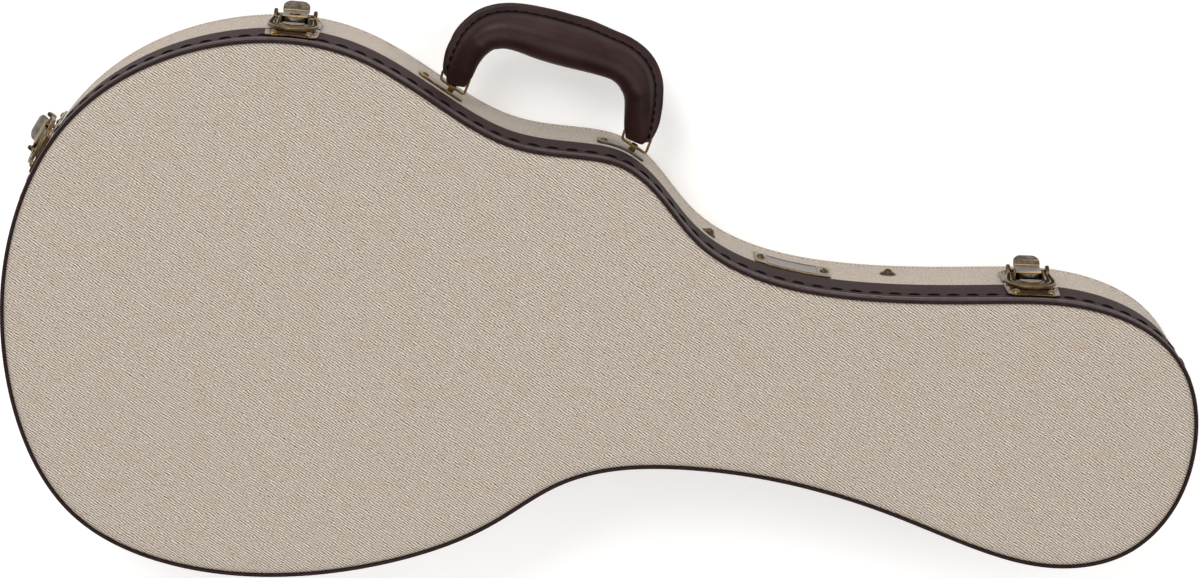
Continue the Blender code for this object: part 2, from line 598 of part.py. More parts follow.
# stitched welt along the outside of the grip
welt_in, welt_out = [], []
for k in range(2, len(GRIP) - 2):
    x, y, r = GRIP[k]
    d = Vector(GRIP[k + 1][:2]) - Vector(GRIP[k - 1][:2])
    d.normalize()
    nrm = Vector((d.y, -d.x))
    if nrm.dot(Vector((x, y)) - Vector((30, -120))) < 0:
        nrm = -nrm
    rise = 4.6 * math.sin(math.pi * (k - 1) / (len(GRIP) - 3)) ** 0.4
    welt_in.append((x + nrm.x * (r + 0.3), y + nrm.y * (r + 0.3)))
    welt_out.append((x + nrm.x * (r + 0.4 + rise), y + nrm.y * (r + 0.4 + rise)))
welt = flat("handle_welt", [welt_out + welt_in[::-1]], HANDLE_Z - 1.7, HANDLE_Z + 1.7)
ride_axis(finish(welt, "leather"), HANDLE_AXIS)

# ------------------------------------------------------------------ name plate and screws
_, sn = wall_frame((-126, -17), SEAM)
plate = strip("name_plate", sn, 25.5, -0.8 + GAP, -0.8 + GAP + 1.0, 32.0, 62.0)
finish(plate, "antique_brass")
for key, side in (("bout", -21.5), ("head", 21.5)):
    pos, nn = PLAN.at(PLAN.walk(sn, side))
    p, q = Vector((*pos, 47.0)), Vector((*nn, 0))
    finish(cylinder("name_plate_screw_" + key, p + q * 1.5, p + q * 3.3, 2.6, 1.5, sides=10), "gilt")
for key, xy, z in (("cradle", (-72, -39.6), 48.0), ("compartment", (-189.8, -9.2), 32.0)):
    s = PLAN.nearest(np.array(xy, float))
    pos, nn = PLAN.at(s)
    p, q = Vector((*pos, z)), Vector((*nn, 0))
    finish(cylinder(key + "_washer", p + q * 0.1, p + q * 1.3, 5.0, 3.4, sides=16), "antique_brass")
    finish(cylinder(key + "_screw", p + q * 1.6, p + q * 3.4, 2.9, 1.6, sides=10), "gilt")

# ------------------------------------------------------------------ hinges
for key, centre in (("bout", HA), ("head", HB)):
    frame = Matrix.Translation(centre * MM) @ Matrix.Rotation(math.atan2(hinge_dir.y, hinge_dir.x), 4, "Z")
    o = -HINGE_OUT       # the lid band's surface in this frame (y)
    knuckle, bore_r = 3.0, 1.5
    spans = {"body": [(-17, -10.3), (-3.2, 3.2), (10.3, 17)], "lid": [(-9.9, -3.6), (3.6, 9.9)]}
    for side in ("body", "lid"):
        base_y = o + (-0.8 if side == "body" else 0.0) + 0.45
        up = -1.0 if side == "body" else 1.0
        near, clear = (-1.0 if side == "body" else 0.4), 3.4 * up
        edge = []                      # toothed edge: fingers at this leaf's own knuckles
        for x0, x1 in spans[side]:
            x0, x1 = x0 + 0.3, x1 - 0.3
            edge += [(x0, clear * (1 + abs(x0) / 100)), (x0, near), (x1, near), (x1, clear * (1 + abs(x1) / 100))]
        if side == "body":
            edge = edge[1:-1]
        else:
            edge = [(-17, clear * 1.17)] + edge + [(17, clear * 1.17)]
        tips = arc(13.5, 18.5 * up, 3.5, 3.5 * up, 0, 90, 3) + arc(-13.5, 18.5 * up, 3.5, 3.5 * up, 90, 180, 3)
        leaf = prism("hinge_leaf_%s_%s" % (side, key), edge + tips, base_y, base_y + PLATE, "face")
        bits = [cylinder("k", (x0, 0, 0), (x1, 0, 0), knuckle, sides=12) for x0, x1 in spans[side]]
        if side == "body":
            bits += [box("web", (x0 + 0.6, base_y + 0.6, -2.1), (x1 - 0.6, -1.7, -0.6)) for x0, x1 in spans[side]]
        for x in (-12, 12):
            bits.append(cylinder("rivet", (x, base_y + PLATE - 0.4, 14.5 * up),
                                 (x, base_y + PLATE + 1.0, 14.5 * up), 2.3, 1.2, sides=8))
        leaf = combine(leaf, bits, "UNION")
        leaf = combine(leaf, [cylinder("c", (-30, 0, 0), (30, 0, 0), bore_r, sides=12)], "DIFFERENCE")
        place(finish(leaf, "antique_brass"), frame)
        if side == "lid":
            on_lid(leaf)
    pin = cylinder("hinge_pin_" + key, (-17.6, 0, 0), (17.6, 0, 0), 1.2, sides=12)
    place(finish(pin, "gilt"), frame)

# ------------------------------------------------------------------ shading
for ob in PARTS.objects:
    if ob.type == "MESH":
        ob.data.shade_smooth()
        ob.data.set_sharp_from_angle(angle=math.radians(35))
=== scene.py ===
"""Looks for the mandolin case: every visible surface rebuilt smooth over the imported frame.

Lengths in the helpers are millimetres; objects are placed in metres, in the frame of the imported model.
"""
import math

import bmesh
import bpy
import numpy as np
from mathutils import Matrix, Vector


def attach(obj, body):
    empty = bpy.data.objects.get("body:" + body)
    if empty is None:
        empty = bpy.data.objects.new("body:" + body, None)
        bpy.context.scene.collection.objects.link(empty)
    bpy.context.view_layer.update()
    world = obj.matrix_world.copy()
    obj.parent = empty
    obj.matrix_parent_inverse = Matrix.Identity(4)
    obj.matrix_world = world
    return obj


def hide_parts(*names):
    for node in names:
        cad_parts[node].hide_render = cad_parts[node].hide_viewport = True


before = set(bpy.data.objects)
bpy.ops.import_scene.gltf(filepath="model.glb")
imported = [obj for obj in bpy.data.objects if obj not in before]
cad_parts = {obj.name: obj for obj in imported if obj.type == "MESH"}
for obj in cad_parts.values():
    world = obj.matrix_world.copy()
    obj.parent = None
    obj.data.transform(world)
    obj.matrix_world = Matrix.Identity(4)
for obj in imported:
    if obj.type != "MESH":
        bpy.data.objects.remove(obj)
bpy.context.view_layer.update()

MM = 0.001

# ------------------------------------------------------------------ dimensions shared with the frame (mm)
DEPTH, SEAM = 114.0, 63.5
STATIONS = [
    (386.5, 8), (379, -52), (350, -114), (294, -159), (217, -177), (155, -166), (100, -133), (56, -109),
    (14, -102), (-16, -95), (-40, -74), (-64, -45), (-104, -22), (-176, -9), (-250, -7.5), (-306, -5),
    (-356, 14), (-381, 45), (-386.5, 86), (-374, 130), (-343, 162), (-298, 171.5), (-250, 161), (-186, 135),
    (-112, 113), (-50, 105), (-6, 106.5), (30, 117.5), (68, 141), (118, 162.5), (213, 177), (298, 163),
    (346, 132.5), (376, 78),
]
LATCHES = {"tail": (358, -102), "bout": (198.4, -176), "head": (-280, -7)}
HANDLE_PLATES = {"bout": (99, -131.5), "neck": (-20, -93)}
HANDLE_Z = 47.0
RING_AXIS_OUT = 3.7
RING_RISE = 9.0
HINGES = {"bout": (213, 177), "head": (-298, 171.5)}
HINGE_OUT = 3.7
LEVER_PIVOT = (6.6, -4.5)
LOOP_PIVOT = (6.0, -15.5)
NECK_TILT = math.radians(9.2)
NECK_V = 34.0


class Outline:
    """Periodic cubic through the stations, resampled by arc length."""

    def __init__(self, stations, count=440):
        p = np.array(stations, float)
        n = len(p)
        h = np.linalg.norm(np.roll(p, -1, 0) - p, axis=1) ** 0.75
        a = np.zeros((n, n))
        r = np.zeros((n, 2))
        for i in range(n):
            h0, h1 = h[i - 1], h[i]
            a[i, (i - 1) % n] = 1 / h0
            a[i, i] = 2 * (1 / h0 + 1 / h1)
            a[i, (i + 1) % n] = 1 / h1
            r[i] = 3 * ((p[i] - p[i - 1]) / h0 ** 2 + (p[(i + 1) % n] - p[i]) / h1 ** 2)
        m = np.linalg.solve(a, r)
        pts, nrm = [], []
        for i in range(n):
            j = (i + 1) % n
            for f in np.linspace(0, 1, 120, endpoint=False):
                pts.append((2 * f ** 3 - 3 * f ** 2 + 1) * p[i] + (f ** 3 - 2 * f ** 2 + f) * h[i] * m[i]
                           + (-2 * f ** 3 + 3 * f ** 2) * p[j] + (f ** 3 - f ** 2) * h[i] * m[j])
                d = ((6 * f ** 2 - 6 * f) * p[i] / h[i] + (3 * f ** 2 - 4 * f + 1) * m[i]
                     + (-6 * f ** 2 + 6 * f) * p[j] / h[i] + (3 * f ** 2 - 2 * f) * m[j])
                d = d / np.linalg.norm(d)
                nrm.append((-d[1], d[0]))
        self.fine, self.fine_n = np.array(pts), np.array(nrm)
        step = np.linalg.norm(np.roll(self.fine, -1, 0) - self.fine, axis=1)
        self.s = np.concatenate([[0], np.cumsum(step)])
        self.length = float(self.s[-1])
        self.count = count
        self.ring = [self.at(self.length * k / count) for k in range(count)]

    def at(self, s):
        s = s % self.length
        i = min(int(np.searchsorted(self.s, s, side="right")) - 1, len(self.fine) - 1)
        f = (s - self.s[i]) / (self.s[i + 1] - self.s[i])
        j = (i + 1) % len(self.fine)
        pos = self.fine[i] * (1 - f) + self.fine[j] * f
        nrm = self.fine_n[i] * (1 - f) + self.fine_n[j] * f
        return pos, nrm / np.linalg.norm(nrm)

    def nearest(self, xy):
        return float(self.s[int(np.argmin(np.hypot(*(self.fine - np.array(xy, float)).T)))])


PLAN = Outline(STATIONS)


# ------------------------------------------------------------------ materials
def lin(r, g, b):
    """sRGB 0-255 to linear."""
    return tuple((c / 255 / 12.92) if c / 255 <= 0.04045 else ((c / 255 + 0.055) / 1.055) ** 2.4 for c in (r, g, b))


class Nodes:
    """A small builder for node trees: sockets or numbers go in, a socket comes out."""

    def __init__(self, name):
        self.mat = bpy.data.materials.new(name)
        self.mat.use_nodes = True
        self.t = self.mat.node_tree
        self.bsdf = self.t.nodes["Principled BSDF"]

    def put(self, node, index, value):
        if value is None:
            return
        if hasattr(value, "is_output"):
            self.t.links.new(value, node.inputs[index])
        else:
            node.inputs[index].default_value = value

    def math(self, op, a, b=None, c=None, clamp=False):
        n = self.t.nodes.new("ShaderNodeMath")
        n.operation = op
        n.use_clamp = clamp
        for k, v in enumerate((a, b, c)):
            self.put(n, k, v)
        return n.outputs[0]

    def uv(self):
        """Metric texture coordinates in mm: (x, y)."""
        n = self.t.nodes.new("ShaderNodeUVMap")
        n.uv_map = "metric"
        sep = self.t.nodes.new("ShaderNodeSeparateXYZ")
        self.t.links.new(n.outputs[0], sep.inputs[0])
        return self.math("MULTIPLY", sep.outputs[0], 1000.0), self.math("MULTIPLY", sep.outputs[1], 1000.0)

    def vec(self, x, y, z=0.0):
        n = self.t.nodes.new("ShaderNodeCombineXYZ")
        for k, v in enumerate((x, y, z)):
            self.put(n, k, v)
        return n.outputs[0]

    def position(self, scale=1000.0):
        """Object coordinates, in mm."""
        c = self.t.nodes.new("ShaderNodeTexCoord")
        n = self.t.nodes.new("ShaderNodeVectorMath")
        n.operation = "SCALE"
        self.t.links.new(c.outputs["Object"], n.inputs[0])
        n.inputs["Scale"].default_value = scale
        return n.outputs[0]

    def noise(self, vector, scale=1.0, detail=2.0, rough=0.5, distort=0.0):
        n = self.t.nodes.new("ShaderNodeTexNoise")
        self.put(n, "Vector", vector)
        n.inputs["Scale"].default_value = scale
        n.inputs["Detail"].default_value = detail
        n.inputs["Roughness"].default_value = rough
        n.inputs["Distortion"].default_value = distort
        return n.outputs["Fac"]

    def cells(self, vector, scale=1.0, feature="F1"):
        n = self.t.nodes.new("ShaderNodeTexVoronoi")
        n.feature = feature
        self.put(n, "Vector", vector)
        n.inputs["Scale"].default_value = scale
        return n.outputs["Distance"]

    def mix(self, fac, a, b, blend="MIX"):
        n = self.t.nodes.new("ShaderNodeMix")
        n.data_type = "RGBA"
        n.blend_type = blend
        self.put(n, 0, fac)
        for k, v in ((6, a), (7, b)):
            self.put(n, k, v if hasattr(v, "is_output") else (*v, 1.0))
        return n.outputs[2]

    def ramp(self, fac, low, high):
        """Smooth 0..1 between two values."""
        n = self.t.nodes.new("ShaderNodeMapRange")
        n.interpolation_type = "SMOOTHSTEP"
        self.put(n, 0, fac)
        n.inputs[1].default_value = low
        n.inputs[2].default_value = high
        return n.outputs[0]

    def bump(self, height, distance, strength=1.0, normal=None):
        n = self.t.nodes.new("ShaderNodeBump")
        n.inputs["Strength"].default_value = strength
        n.inputs["Distance"].default_value = distance
        self.put(n, "Height", height)
        self.put(n, "Normal", normal)
        return n.outputs[0]

    def edge(self):
        n = self.t.nodes.new("ShaderNodeNewGeometry")
        return n.outputs["Pointiness"]

    def finish(self, color=None, rough=None, normal=None, metal=0.0, sheen=0.0, sheen_rough=0.5, spec=0.5, coat=0.0,
               coat_rough=0.3, view=None):
        b = self.bsdf
        if color is not None:
            self.put(b, "Base Color", color if hasattr(color, "is_output") else (*color, 1.0))
        if rough is not None:
            self.put(b, "Roughness", rough)
        self.put(b, "Normal", normal)
        b.inputs["Metallic"].default_value = metal
        b.inputs["Sheen Weight"].default_value = sheen
        b.inputs["Sheen Roughness"].default_value = sheen_rough
        b.inputs["Specular IOR Level"].default_value = spec
        b.inputs["Coat Weight"].default_value = coat
        b.inputs["Coat Roughness"].default_value = coat_rough
        self.mat.diffuse_color = (*(view or (0.5, 0.5, 0.5)), 1.0)
        return self.mat


def make_cloth():
    """Beige twill: fine slanting floats, thick and thin yarn, warm slubs, cooler worn patches."""
    n = Nodes("woven_twill")
    x, y = n.uv()
    v = n.vec(x, y)
    wob = n.math("MULTIPLY", n.math("SUBTRACT", n.noise(v, 0.20, 2.0), 0.5), 1.3)
    slant = n.math("ADD", n.math("MULTIPLY", x, 0.386), n.math("MULTIPLY", y, 0.545))
    twill = n.math("SINE", n.math("MULTIPLY", n.math("ADD", slant, wob), 2 * math.pi))
    # the pick-by-pick steps along each float
    pick = n.math("SINE", n.math("MULTIPLY", n.math("SUBTRACT", n.math("MULTIPLY", x, 0.36),
                                                    n.math("MULTIPLY", y, 0.13)), 2 * math.pi))
    patch = n.noise(n.vec(n.math("MULTIPLY", x, 0.36), n.math("MULTIPLY", y, 0.60)), 1.0, 3.0, 0.65)
    amp = n.math("ADD", n.math("MULTIPLY", n.ramp(patch, 0.36, 0.64), 0.95), 0.40)
    weave = n.math("MULTIPLY", n.math("ADD", n.math("MULTIPLY", twill, 0.92), n.math("MULTIPLY", pick, 0.10)), amp)
    fac = n.math("ADD", n.math("MULTIPLY", weave, 0.5), 0.5, clamp=True)
    body = n.mix(fac, lin(87, 74, 62), lin(210, 200, 187))
    # thick and thin yarn: fine short streaks across the piece
    grain = n.noise(n.vec(n.math("MULTIPLY", x, 0.42), n.math("MULTIPLY", y, 1.15)), 1.0, 2.0, 0.6)
    body = n.mix(n.math("MULTIPLY", n.ramp(grain, 0.54, 0.72), 0.34), body, lin(118, 102, 90))
    body = n.mix(n.math("MULTIPLY", n.ramp(grain, 0.46, 0.30), 0.34), body, lin(200, 191, 181))
    # warm slubs and pale flecks
    slub = n.noise(n.vec(n.math("MULTIPLY", x, 0.095), n.math("MULTIPLY", y, 0.85)), 1.0, 2.0, 0.6)
    body = n.mix(n.math("MULTIPLY", n.ramp(slub, 0.56, 0.73), 0.54), body, lin(148, 117, 94))
    fleck = n.noise(n.vec(n.math("MULTIPLY", x, 0.24), n.math("MULTIPLY", y, 0.75), 5.0), 1.0, 1.0, 0.5)
    body = n.mix(n.math("MULTIPLY", n.ramp(fleck, 0.66, 0.80), 0.45), body, lin(198, 192, 184))
    # cooler and warmer drifts
    drift = n.noise(n.vec(n.math("MULTIPLY", x, 0.045), n.math("MULTIPLY", y, 0.11)), 1.0, 3.0, 0.6)
    body = n.mix(n.math("MULTIPLY", n.ramp(drift, 0.46, 0.28), 0.36), body, lin(160, 153, 148))
    body = n.mix(n.math("MULTIPLY", n.ramp(drift, 0.54, 0.72), 0.26), body, lin(164, 140, 120))
    height = n.math("ADD", weave, n.math("MULTIPLY", n.noise(v, 2.2, 2.0), 0.7))
    soft = n.noise(v, 0.035, 2.0)
    return n.finish(body, 0.95, n.bump(height, 0.00013, 0.55, n.bump(soft, 0.0010, 0.30)), sheen=0.04,
                    sheen_rough=0.6, spec=0.06, view=(0.45, 0.39, 0.33))


def make_vinyl(name, dark, light, rough=0.42, grain=1.0, spec=0.45):
    """Smooth coated leathercloth with a fine pressed grain."""
    n = Nodes(name)
    p = n.position()
    mott = n.noise(p, 0.22, 4.0, 0.6)
    color = n.mix(n.ramp(mott, 0.25, 0.78), dark, light)
    fine = n.cells(p, 1.5)
    color = n.mix(n.math("MULTIPLY", n.ramp(fine, 0.50, 0.05), 0.22), color, dark)
    r = n.math("ADD", n.math("MULTIPLY", mott, 0.16), rough - 0.08)
    height = n.math("ADD", n.math("MULTIPLY", fine, 0.7), n.math("MULTIPLY", n.noise(p, 2.6, 2.0), 0.5))
    return n.finish(color, r, n.bump(height, 0.00010 * grain, 0.5), spec=spec, view=light)


def make_leather():
    """Dark brown smooth hide: pores, soft creases, slightly lighter where hands rub it."""
    n = Nodes("handle_hide")
    p = n.position()
    big = n.noise(p, 0.045, 3.0, 0.55)
    color = n.mix(n.ramp(big, 0.30, 0.72), lin(35, 19, 18), lin(48, 29, 27))
    pore = n.cells(p, 1.25)
    color = n.mix(n.math("MULTIPLY", n.ramp(pore, 0.46, 0.10), 0.35), color, lin(28, 18, 18))
    crease = n.noise(p, 0.35, 5.0, 0.65, 0.6)
    height = n.math("ADD", n.math("MULTIPLY", pore, 0.55), n.math("MULTIPLY", crease, 1.2))
    r = n.math("ADD", n.math("MULTIPLY", crease, 0.16), 0.27)
    return n.finish(color, r, n.bump(height, 0.00016, 0.5), spec=0.15, coat=0.0, coat_rough=0.4,
                    view=lin(52, 37, 36))


def make_metal(name, dark, mid, worn, rough=0.34, wear=1.0):
    """Plated brass with an antique brown-grey finish, rubbed through on the edges; painted shade darkens the hollows.
    """
    n = Nodes(name)
    p = n.position()
    cloud = n.noise(p, 0.28, 4.0, 0.6)
    color = n.mix(n.ramp(cloud, 0.30, 0.72), dark, mid)
    edge = n.ramp(n.edge(), 0.53, 0.62)
    rub = n.math("MULTIPLY", edge, n.math("ADD", n.math("MULTIPLY", n.noise(p, 0.9, 3.0), 0.9), 0.35), clamp=True)
    color = n.mix(n.math("MULTIPLY", rub, wear, clamp=True), color, worn)
    # painted shade: concave spots (low pointiness) are pulled towards dark brown, standing in for shade in the hollows
    low = n.ramp(n.edge(), 0.495, 0.44)
    color = n.mix(n.math("MULTIPLY", low, 0.7), color, lin(34, 28, 22))
    speck = n.cells(p, 0.9)
    color = n.mix(n.math("MULTIPLY", n.ramp(speck, 0.16, 0.04), 0.22), color, lin(48, 40, 32))
    r = n.math("ADD", n.math("MULTIPLY", cloud, 0.14), rough - 0.03)
    height = n.math("ADD", n.math("MULTIPLY", n.noise(p, 1.6, 3.0), 0.6), n.math("MULTIPLY", cloud, 0.8))
    return n.finish(color, r, n.bump(height, 0.00008, 0.22), metal=1.0, view=mid)


def make_plush():
    """Deep brown pile: soft light and dark patches where it is brushed, bright nap at grazing angles."""
    n = Nodes("plush_pile")
    p = n.position()
    nap = n.noise(p, 0.05, 4.0, 0.65)
    pile = n.noise(p, 1.9, 3.0, 0.7)
    color = n.mix(n.ramp(nap, 0.28, 0.75), lin(55, 37, 30), lin(79, 54, 44))
    color = n.mix(n.math("MULTIPLY", n.ramp(pile, 0.35, 0.70), 0.40), color, lin(104, 76, 62))
    height = n.math("ADD", pile, n.math("MULTIPLY", nap, 2.0))
    return n.finish(color, 0.96, n.bump(height, 0.00055, 0.8), sheen=0.55, sheen_rough=0.45, spec=0.08,
                    view=lin(70, 48, 39))


def make_thread():
    n = Nodes("waxed_thread")
    x, y = n.uv()
    twist = n.math("SINE", n.math("MULTIPLY", n.math("ADD", x, n.math("MULTIPLY", y, 0.8)), 2 * math.pi / 0.75))
    color = n.mix(n.ramp(twist, -1.0, 1.0), lin(6, 5, 5), lin(15, 12, 12))
    return n.finish(color, 0.6, n.bump(twist, 0.00008, 0.6), spec=0.03, view=(0.01, 0.01, 0.01))


CLOTH = make_cloth()
BAND = make_vinyl("leathercloth_band", lin(48, 37, 37), lin(59, 47, 47), 0.52, spec=0.008)
# painted highlight: a lighter copy of the leathercloth for the raised ridge, where light catches the trim
RIDGE_HIGHLIGHT = make_vinyl("leathercloth_ridge_highlight", lin(62, 51, 51), lin(86, 73, 73), 0.46, spec=0.06)
# painted shade: a darker copy of the same leathercloth for the rolled bead
BEAD_SHADED = make_vinyl("leathercloth_bead_shaded", lin(28, 16, 15), lin(44, 27, 26), 0.42, 0.8, spec=0.08)
HIDE = make_leather()
HIDE_EDGE = make_vinyl("hide_edge", lin(13, 9, 9), lin(25, 18, 18), 0.46, 1.4, spec=0.1)
ANTIQUE = make_metal("antique_plate", lin(60, 53, 45), lin(110, 101, 89), lin(200, 168, 116), 0.30, 0.7)
ANTIQUE_DARK = make_metal("antique_dark", lin(40, 32, 24), lin(78, 66, 52), lin(184, 148, 94), 0.32, 0.7)
# painted shade: a dark, nearly unreflective brown put where the latch parts shade each other
SHADE_PAINT = make_vinyl("painted_shade_brown", lin(38, 28, 18), lin(62, 47, 31), 0.5, spec=0.003)
BRONZE = make_metal("bronze_heads", lin(66, 49, 31), lin(116, 91, 60), lin(212, 176, 116), 0.28, 0.8)
GILT = make_metal("worn_gilt", lin(92, 68, 36), lin(146, 112, 62), lin(222, 188, 122), 0.34)
PEWTER = make_metal("plate_pewter", lin(104, 97, 87), lin(132, 124, 112), lin(196, 170, 120), 0.36, 0.6)
PLUSH = make_plush()
THREAD = make_thread()


# ------------------------------------------------------------------ mesh helpers
def make(name, bm, mat, smooth=True, angle=40.0, matrix=None):
    mesh = bpy.data.meshes.new(name)
    bm.to_mesh(mesh)
    bm.free()
    if matrix is not None:
        mesh.transform(matrix)
        if matrix.determinant() < 0:
            mesh.flip_normals()
    ob = bpy.data.objects.new(name, mesh)
    bpy.context.scene.collection.objects.link(ob)
    for m in (mat if isinstance(mat, (list, tuple)) else [mat]):
        mesh.materials.append(m)
    if smooth:
        mesh.shade_smooth()
        mesh.set_sharp_from_angle(angle=math.radians(angle))
    return ob


def place(ob, body, *nodes, slot=None):
    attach(ob, body)
    if nodes:
        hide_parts(*nodes)
    return ob


def sweep(name, profile, mat, closed=True, cap0=False, cap1=False, face_mat=None, angle=40.0, wavy=None):
    """Runs a profile of (inset, z) round the plan. Texture coordinates are metric: along and across the wall
    on upright faces, x and y on flat ones."""
    bm = bmesh.new()
    uvl = bm.loops.layers.uv.new("metric")
    n = PLAN.count
    rows = []
    for j, (d, z) in enumerate(profile):
        row = []
        for k, (pos, nrm) in enumerate(PLAN.ring):
            dd, zz = (d, z) if wavy is None else wavy(j, k, d, z)
            row.append(bm.verts.new(((pos[0] - nrm[0] * dd) * MM, (pos[1] - nrm[1] * dd) * MM, zz * MM)))
        rows.append(row)
    run = [0.0]
    for a, b in zip(profile[:-1], profile[1:]):
        run.append(run[-1] + math.hypot(b[0] - a[0], b[1] - a[1]))
    count = len(profile) if closed else len(profile) - 1
    for j in range(count):
        j2 = (j + 1) % len(profile)
        a, b = profile[j], profile[j2]
        flat_face = abs(b[1] - a[1]) < 0.9 * abs(b[0] - a[0])
        for k in range(n):
            k2 = (k + 1) % n
            f = bm.faces.new((rows[j][k], rows[j][k2], rows[j2][k2], rows[j2][k]))
            if face_mat:
                f.material_index = face_mat(a, b)
            s0, s1 = PLAN.length * k / n, PLAN.length * (k + 1) / n
            v0, v1 = run[j], run[j2] if j2 else run[j] + math.hypot(b[0] - a[0], b[1] - a[1])
            if flat_face:
                for lp in f.loops:
                    lp[uvl].uv = (lp.vert.co.x, lp.vert.co.y)
            else:
                for lp, (s, v) in zip(f.loops, ((s0, v0), (s1, v0), (s1, v1), (s0, v1))):
                    lp[uvl].uv = (-s * MM, v * MM)
    for on, row, end in ((cap0, rows[0], profile[0]), (cap1, rows[-1], profile[-1])):
        if on:
            f = bm.faces.new(row)
            if face_mat:
                f.material_index = face_mat(end, end)
            for lp in f.loops:
                lp[uvl].uv = (lp.vert.co.x, lp.vert.co.y)
    bmesh.ops.recalc_face_normals(bm, faces=bm.faces)
    return make(name, bm, mat, angle=angle)


def wall_frame(xy, z, out=0.0):
    """Local +Y out of the wall, +Z up, +X along the wall."""
    s = PLAN.nearest(xy)
    pos, nrm = PLAN.at(s)
    pos = pos + nrm * out
    rot = Matrix(((nrm[1], nrm[0], 0, 0), (-nrm[0], nrm[1], 0, 0), (0, 0, 1, 0), (0, 0, 0, 1)))
    return Matrix.Translation((pos[0] * MM, pos[1] * MM, z * MM)) @ rot, s


def arc(cx, cy, rx, ry, a0, a1, n):
    return [(cx + rx * math.cos(math.radians(a0 + (a1 - a0) * k / n)),
             cy + ry * math.sin(math.radians(a0 + (a1 - a0) * k / n))) for k in range(n + 1)]


def rounded(x0, y0, x1, y1, r, n=6):
    return (arc(x1 - r, y1 - r, r, r, 0, 90, n) + arc(x0 + r, y1 - r, r, r, 90, 180, n)
            + arc(x0 + r, y0 + r, r, r, 180, 270, n) + arc(x1 - r, y0 + r, r, r, 270, 360, n))


def prism_mesh(loops, z0, z1, bevel=0.0, segments=2):
    """Mesh of a flat outline with rounded edges, first loop outer, others holes (mm in, metres out)."""
    cu = bpy.data.curves.new("tmp", "CURVE")
    cu.dimensions = "2D"
    cu.fill_mode = "BOTH"
    cu.extrude = ((z1 - z0) / 2 - bevel) * MM
    cu.bevel_depth = bevel * MM
    cu.bevel_resolution = segments - 1
    cu.offset = -bevel * MM
    for loop in loops:
        sp = cu.splines.new("POLY")
        sp.points.add(len(loop) - 1)
        for pt, (x, y) in zip(sp.points, loop):
            pt.co = (x * MM, y * MM, 0.0, 1.0)
        sp.use_cyclic_u = True
    ob = bpy.data.objects.new("tmp", cu)
    bpy.context.scene.collection.objects.link(ob)
    deps = bpy.context.evaluated_depsgraph_get()
    deps.update()
    mesh = bpy.data.meshes.new_from_object(ob.evaluated_get(deps))
    mesh.transform(Matrix.Translation((0, 0, (z0 + z1) / 2 * MM)))
    bpy.data.objects.remove(ob, do_unlink=True)
    bm = bmesh.new()
    bm.from_mesh(mesh)
    bpy.data.meshes.remove(mesh)
    bmesh.ops.remove_doubles(bm, verts=bm.verts, dist=1e-6)
    bmesh.ops.recalc_face_normals(bm, faces=bm.faces)
    return bm


SIDE = Matrix(((0, 0, 1, 0), (1, 0, 0, 0), (0, 1, 0, 0), (0, 0, 0, 1)))      # drawing (out, up), depth along x
FACE = Matrix(((1, 0, 0, 0), (0, 0, 1, 0), (0, 1, 0, 0), (0, 0, 0, 1)))      # drawing (x, up), depth along out


def add(target, bm, matrix=None, mat=0):
    """Adds a closed shape to another bmesh."""
    if matrix is not None:
        bmesh.ops.transform(bm, matrix=matrix, verts=bm.verts)
    bmesh.ops.recalc_face_normals(bm, faces=bm.faces)
    for f in bm.faces:
        f.material_index = mat
    mesh = bpy.data.meshes.new("tmp")
    bm.to_mesh(mesh)
    bm.free()
    target.from_mesh(mesh)
    bpy.data.meshes.remove(mesh)
    return target


def rod(p0, p1, radius, radius2=None, sides=24, bevel=0.0):
    a, b = Vector(p0), Vector(p1)
    bm = bmesh.new()
    bmesh.ops.create_cone(bm, cap_ends=True, cap_tris=False, segments=sides, radius1=radius * MM,
                          radius2=(radius if radius2 is None else radius2) * MM, depth=(b - a).length * MM)
    if bevel:
        rim = [e for e in bm.edges if abs(e.verts[0].co.z - e.verts[1].co.z) < 1e-7]
        bmesh.ops.bevel(bm, geom=rim, offset=bevel * MM, segments=2, affect="EDGES", profile=0.5)
    rot = (b - a).to_track_quat("Z", "Y").to_matrix().to_4x4()
    bmesh.ops.transform(bm, matrix=Matrix.Translation((a + b) / 2 * MM) @ rot, verts=bm.verts)
    return bm


def dome(center, axis, radius, height, sides=20, rings=5, skirt=0.4):
    """A domed head standing on a wall, with a short skirt below."""
    bm = bmesh.new()
    rows = [[bm.verts.new((radius * math.cos(2 * math.pi * k / sides) * MM, radius * math.sin(2 * math.pi * k / sides)
                           * MM, -skirt * MM)) for k in range(sides)]]
    for j in range(rings):
        a = math.pi / 2 * j / rings
        rows.append([bm.verts.new((radius * math.cos(a) * math.cos(2 * math.pi * k / sides) * MM,
                                   radius * math.cos(a) * math.sin(2 * math.pi * k / sides) * MM,
                                   height * math.sin(a) * MM)) for k in range(sides)])
    top = bm.verts.new((0, 0, height * MM))
    for a, b in zip(rows[:-1], rows[1:]):
        for k in range(sides):
            bm.faces.new((a[k], a[(k + 1) % sides], b[(k + 1) % sides], b[k]))
    for k in range(sides):
        bm.faces.new((rows[-1][k], rows[-1][(k + 1) % sides], top))
    bm.faces.new(rows[0][::-1])
    rot = Vector(axis).to_track_quat("Z", "Y").to_matrix().to_4x4()
    bmesh.ops.transform(bm, matrix=Matrix.Translation(Vector(center) * MM) @ rot, verts=bm.verts)
    return bm


def box_bm(low, high, bevel=0.0, segments=2):
    bm = bmesh.new()
    bmesh.ops.create_cube(bm, size=1.0)
    lo, hi = Vector(low) * MM, Vector(high) * MM
    bmesh.ops.transform(bm, matrix=Matrix.Translation((lo + hi) / 2) @ Matrix.Diagonal((*(hi - lo), 1)),
                        verts=bm.verts)
    if bevel:
        bmesh.ops.bevel(bm, geom=bm.edges[:], offset=bevel * MM, segments=segments, affect="EDGES", profile=0.5)
    return bm


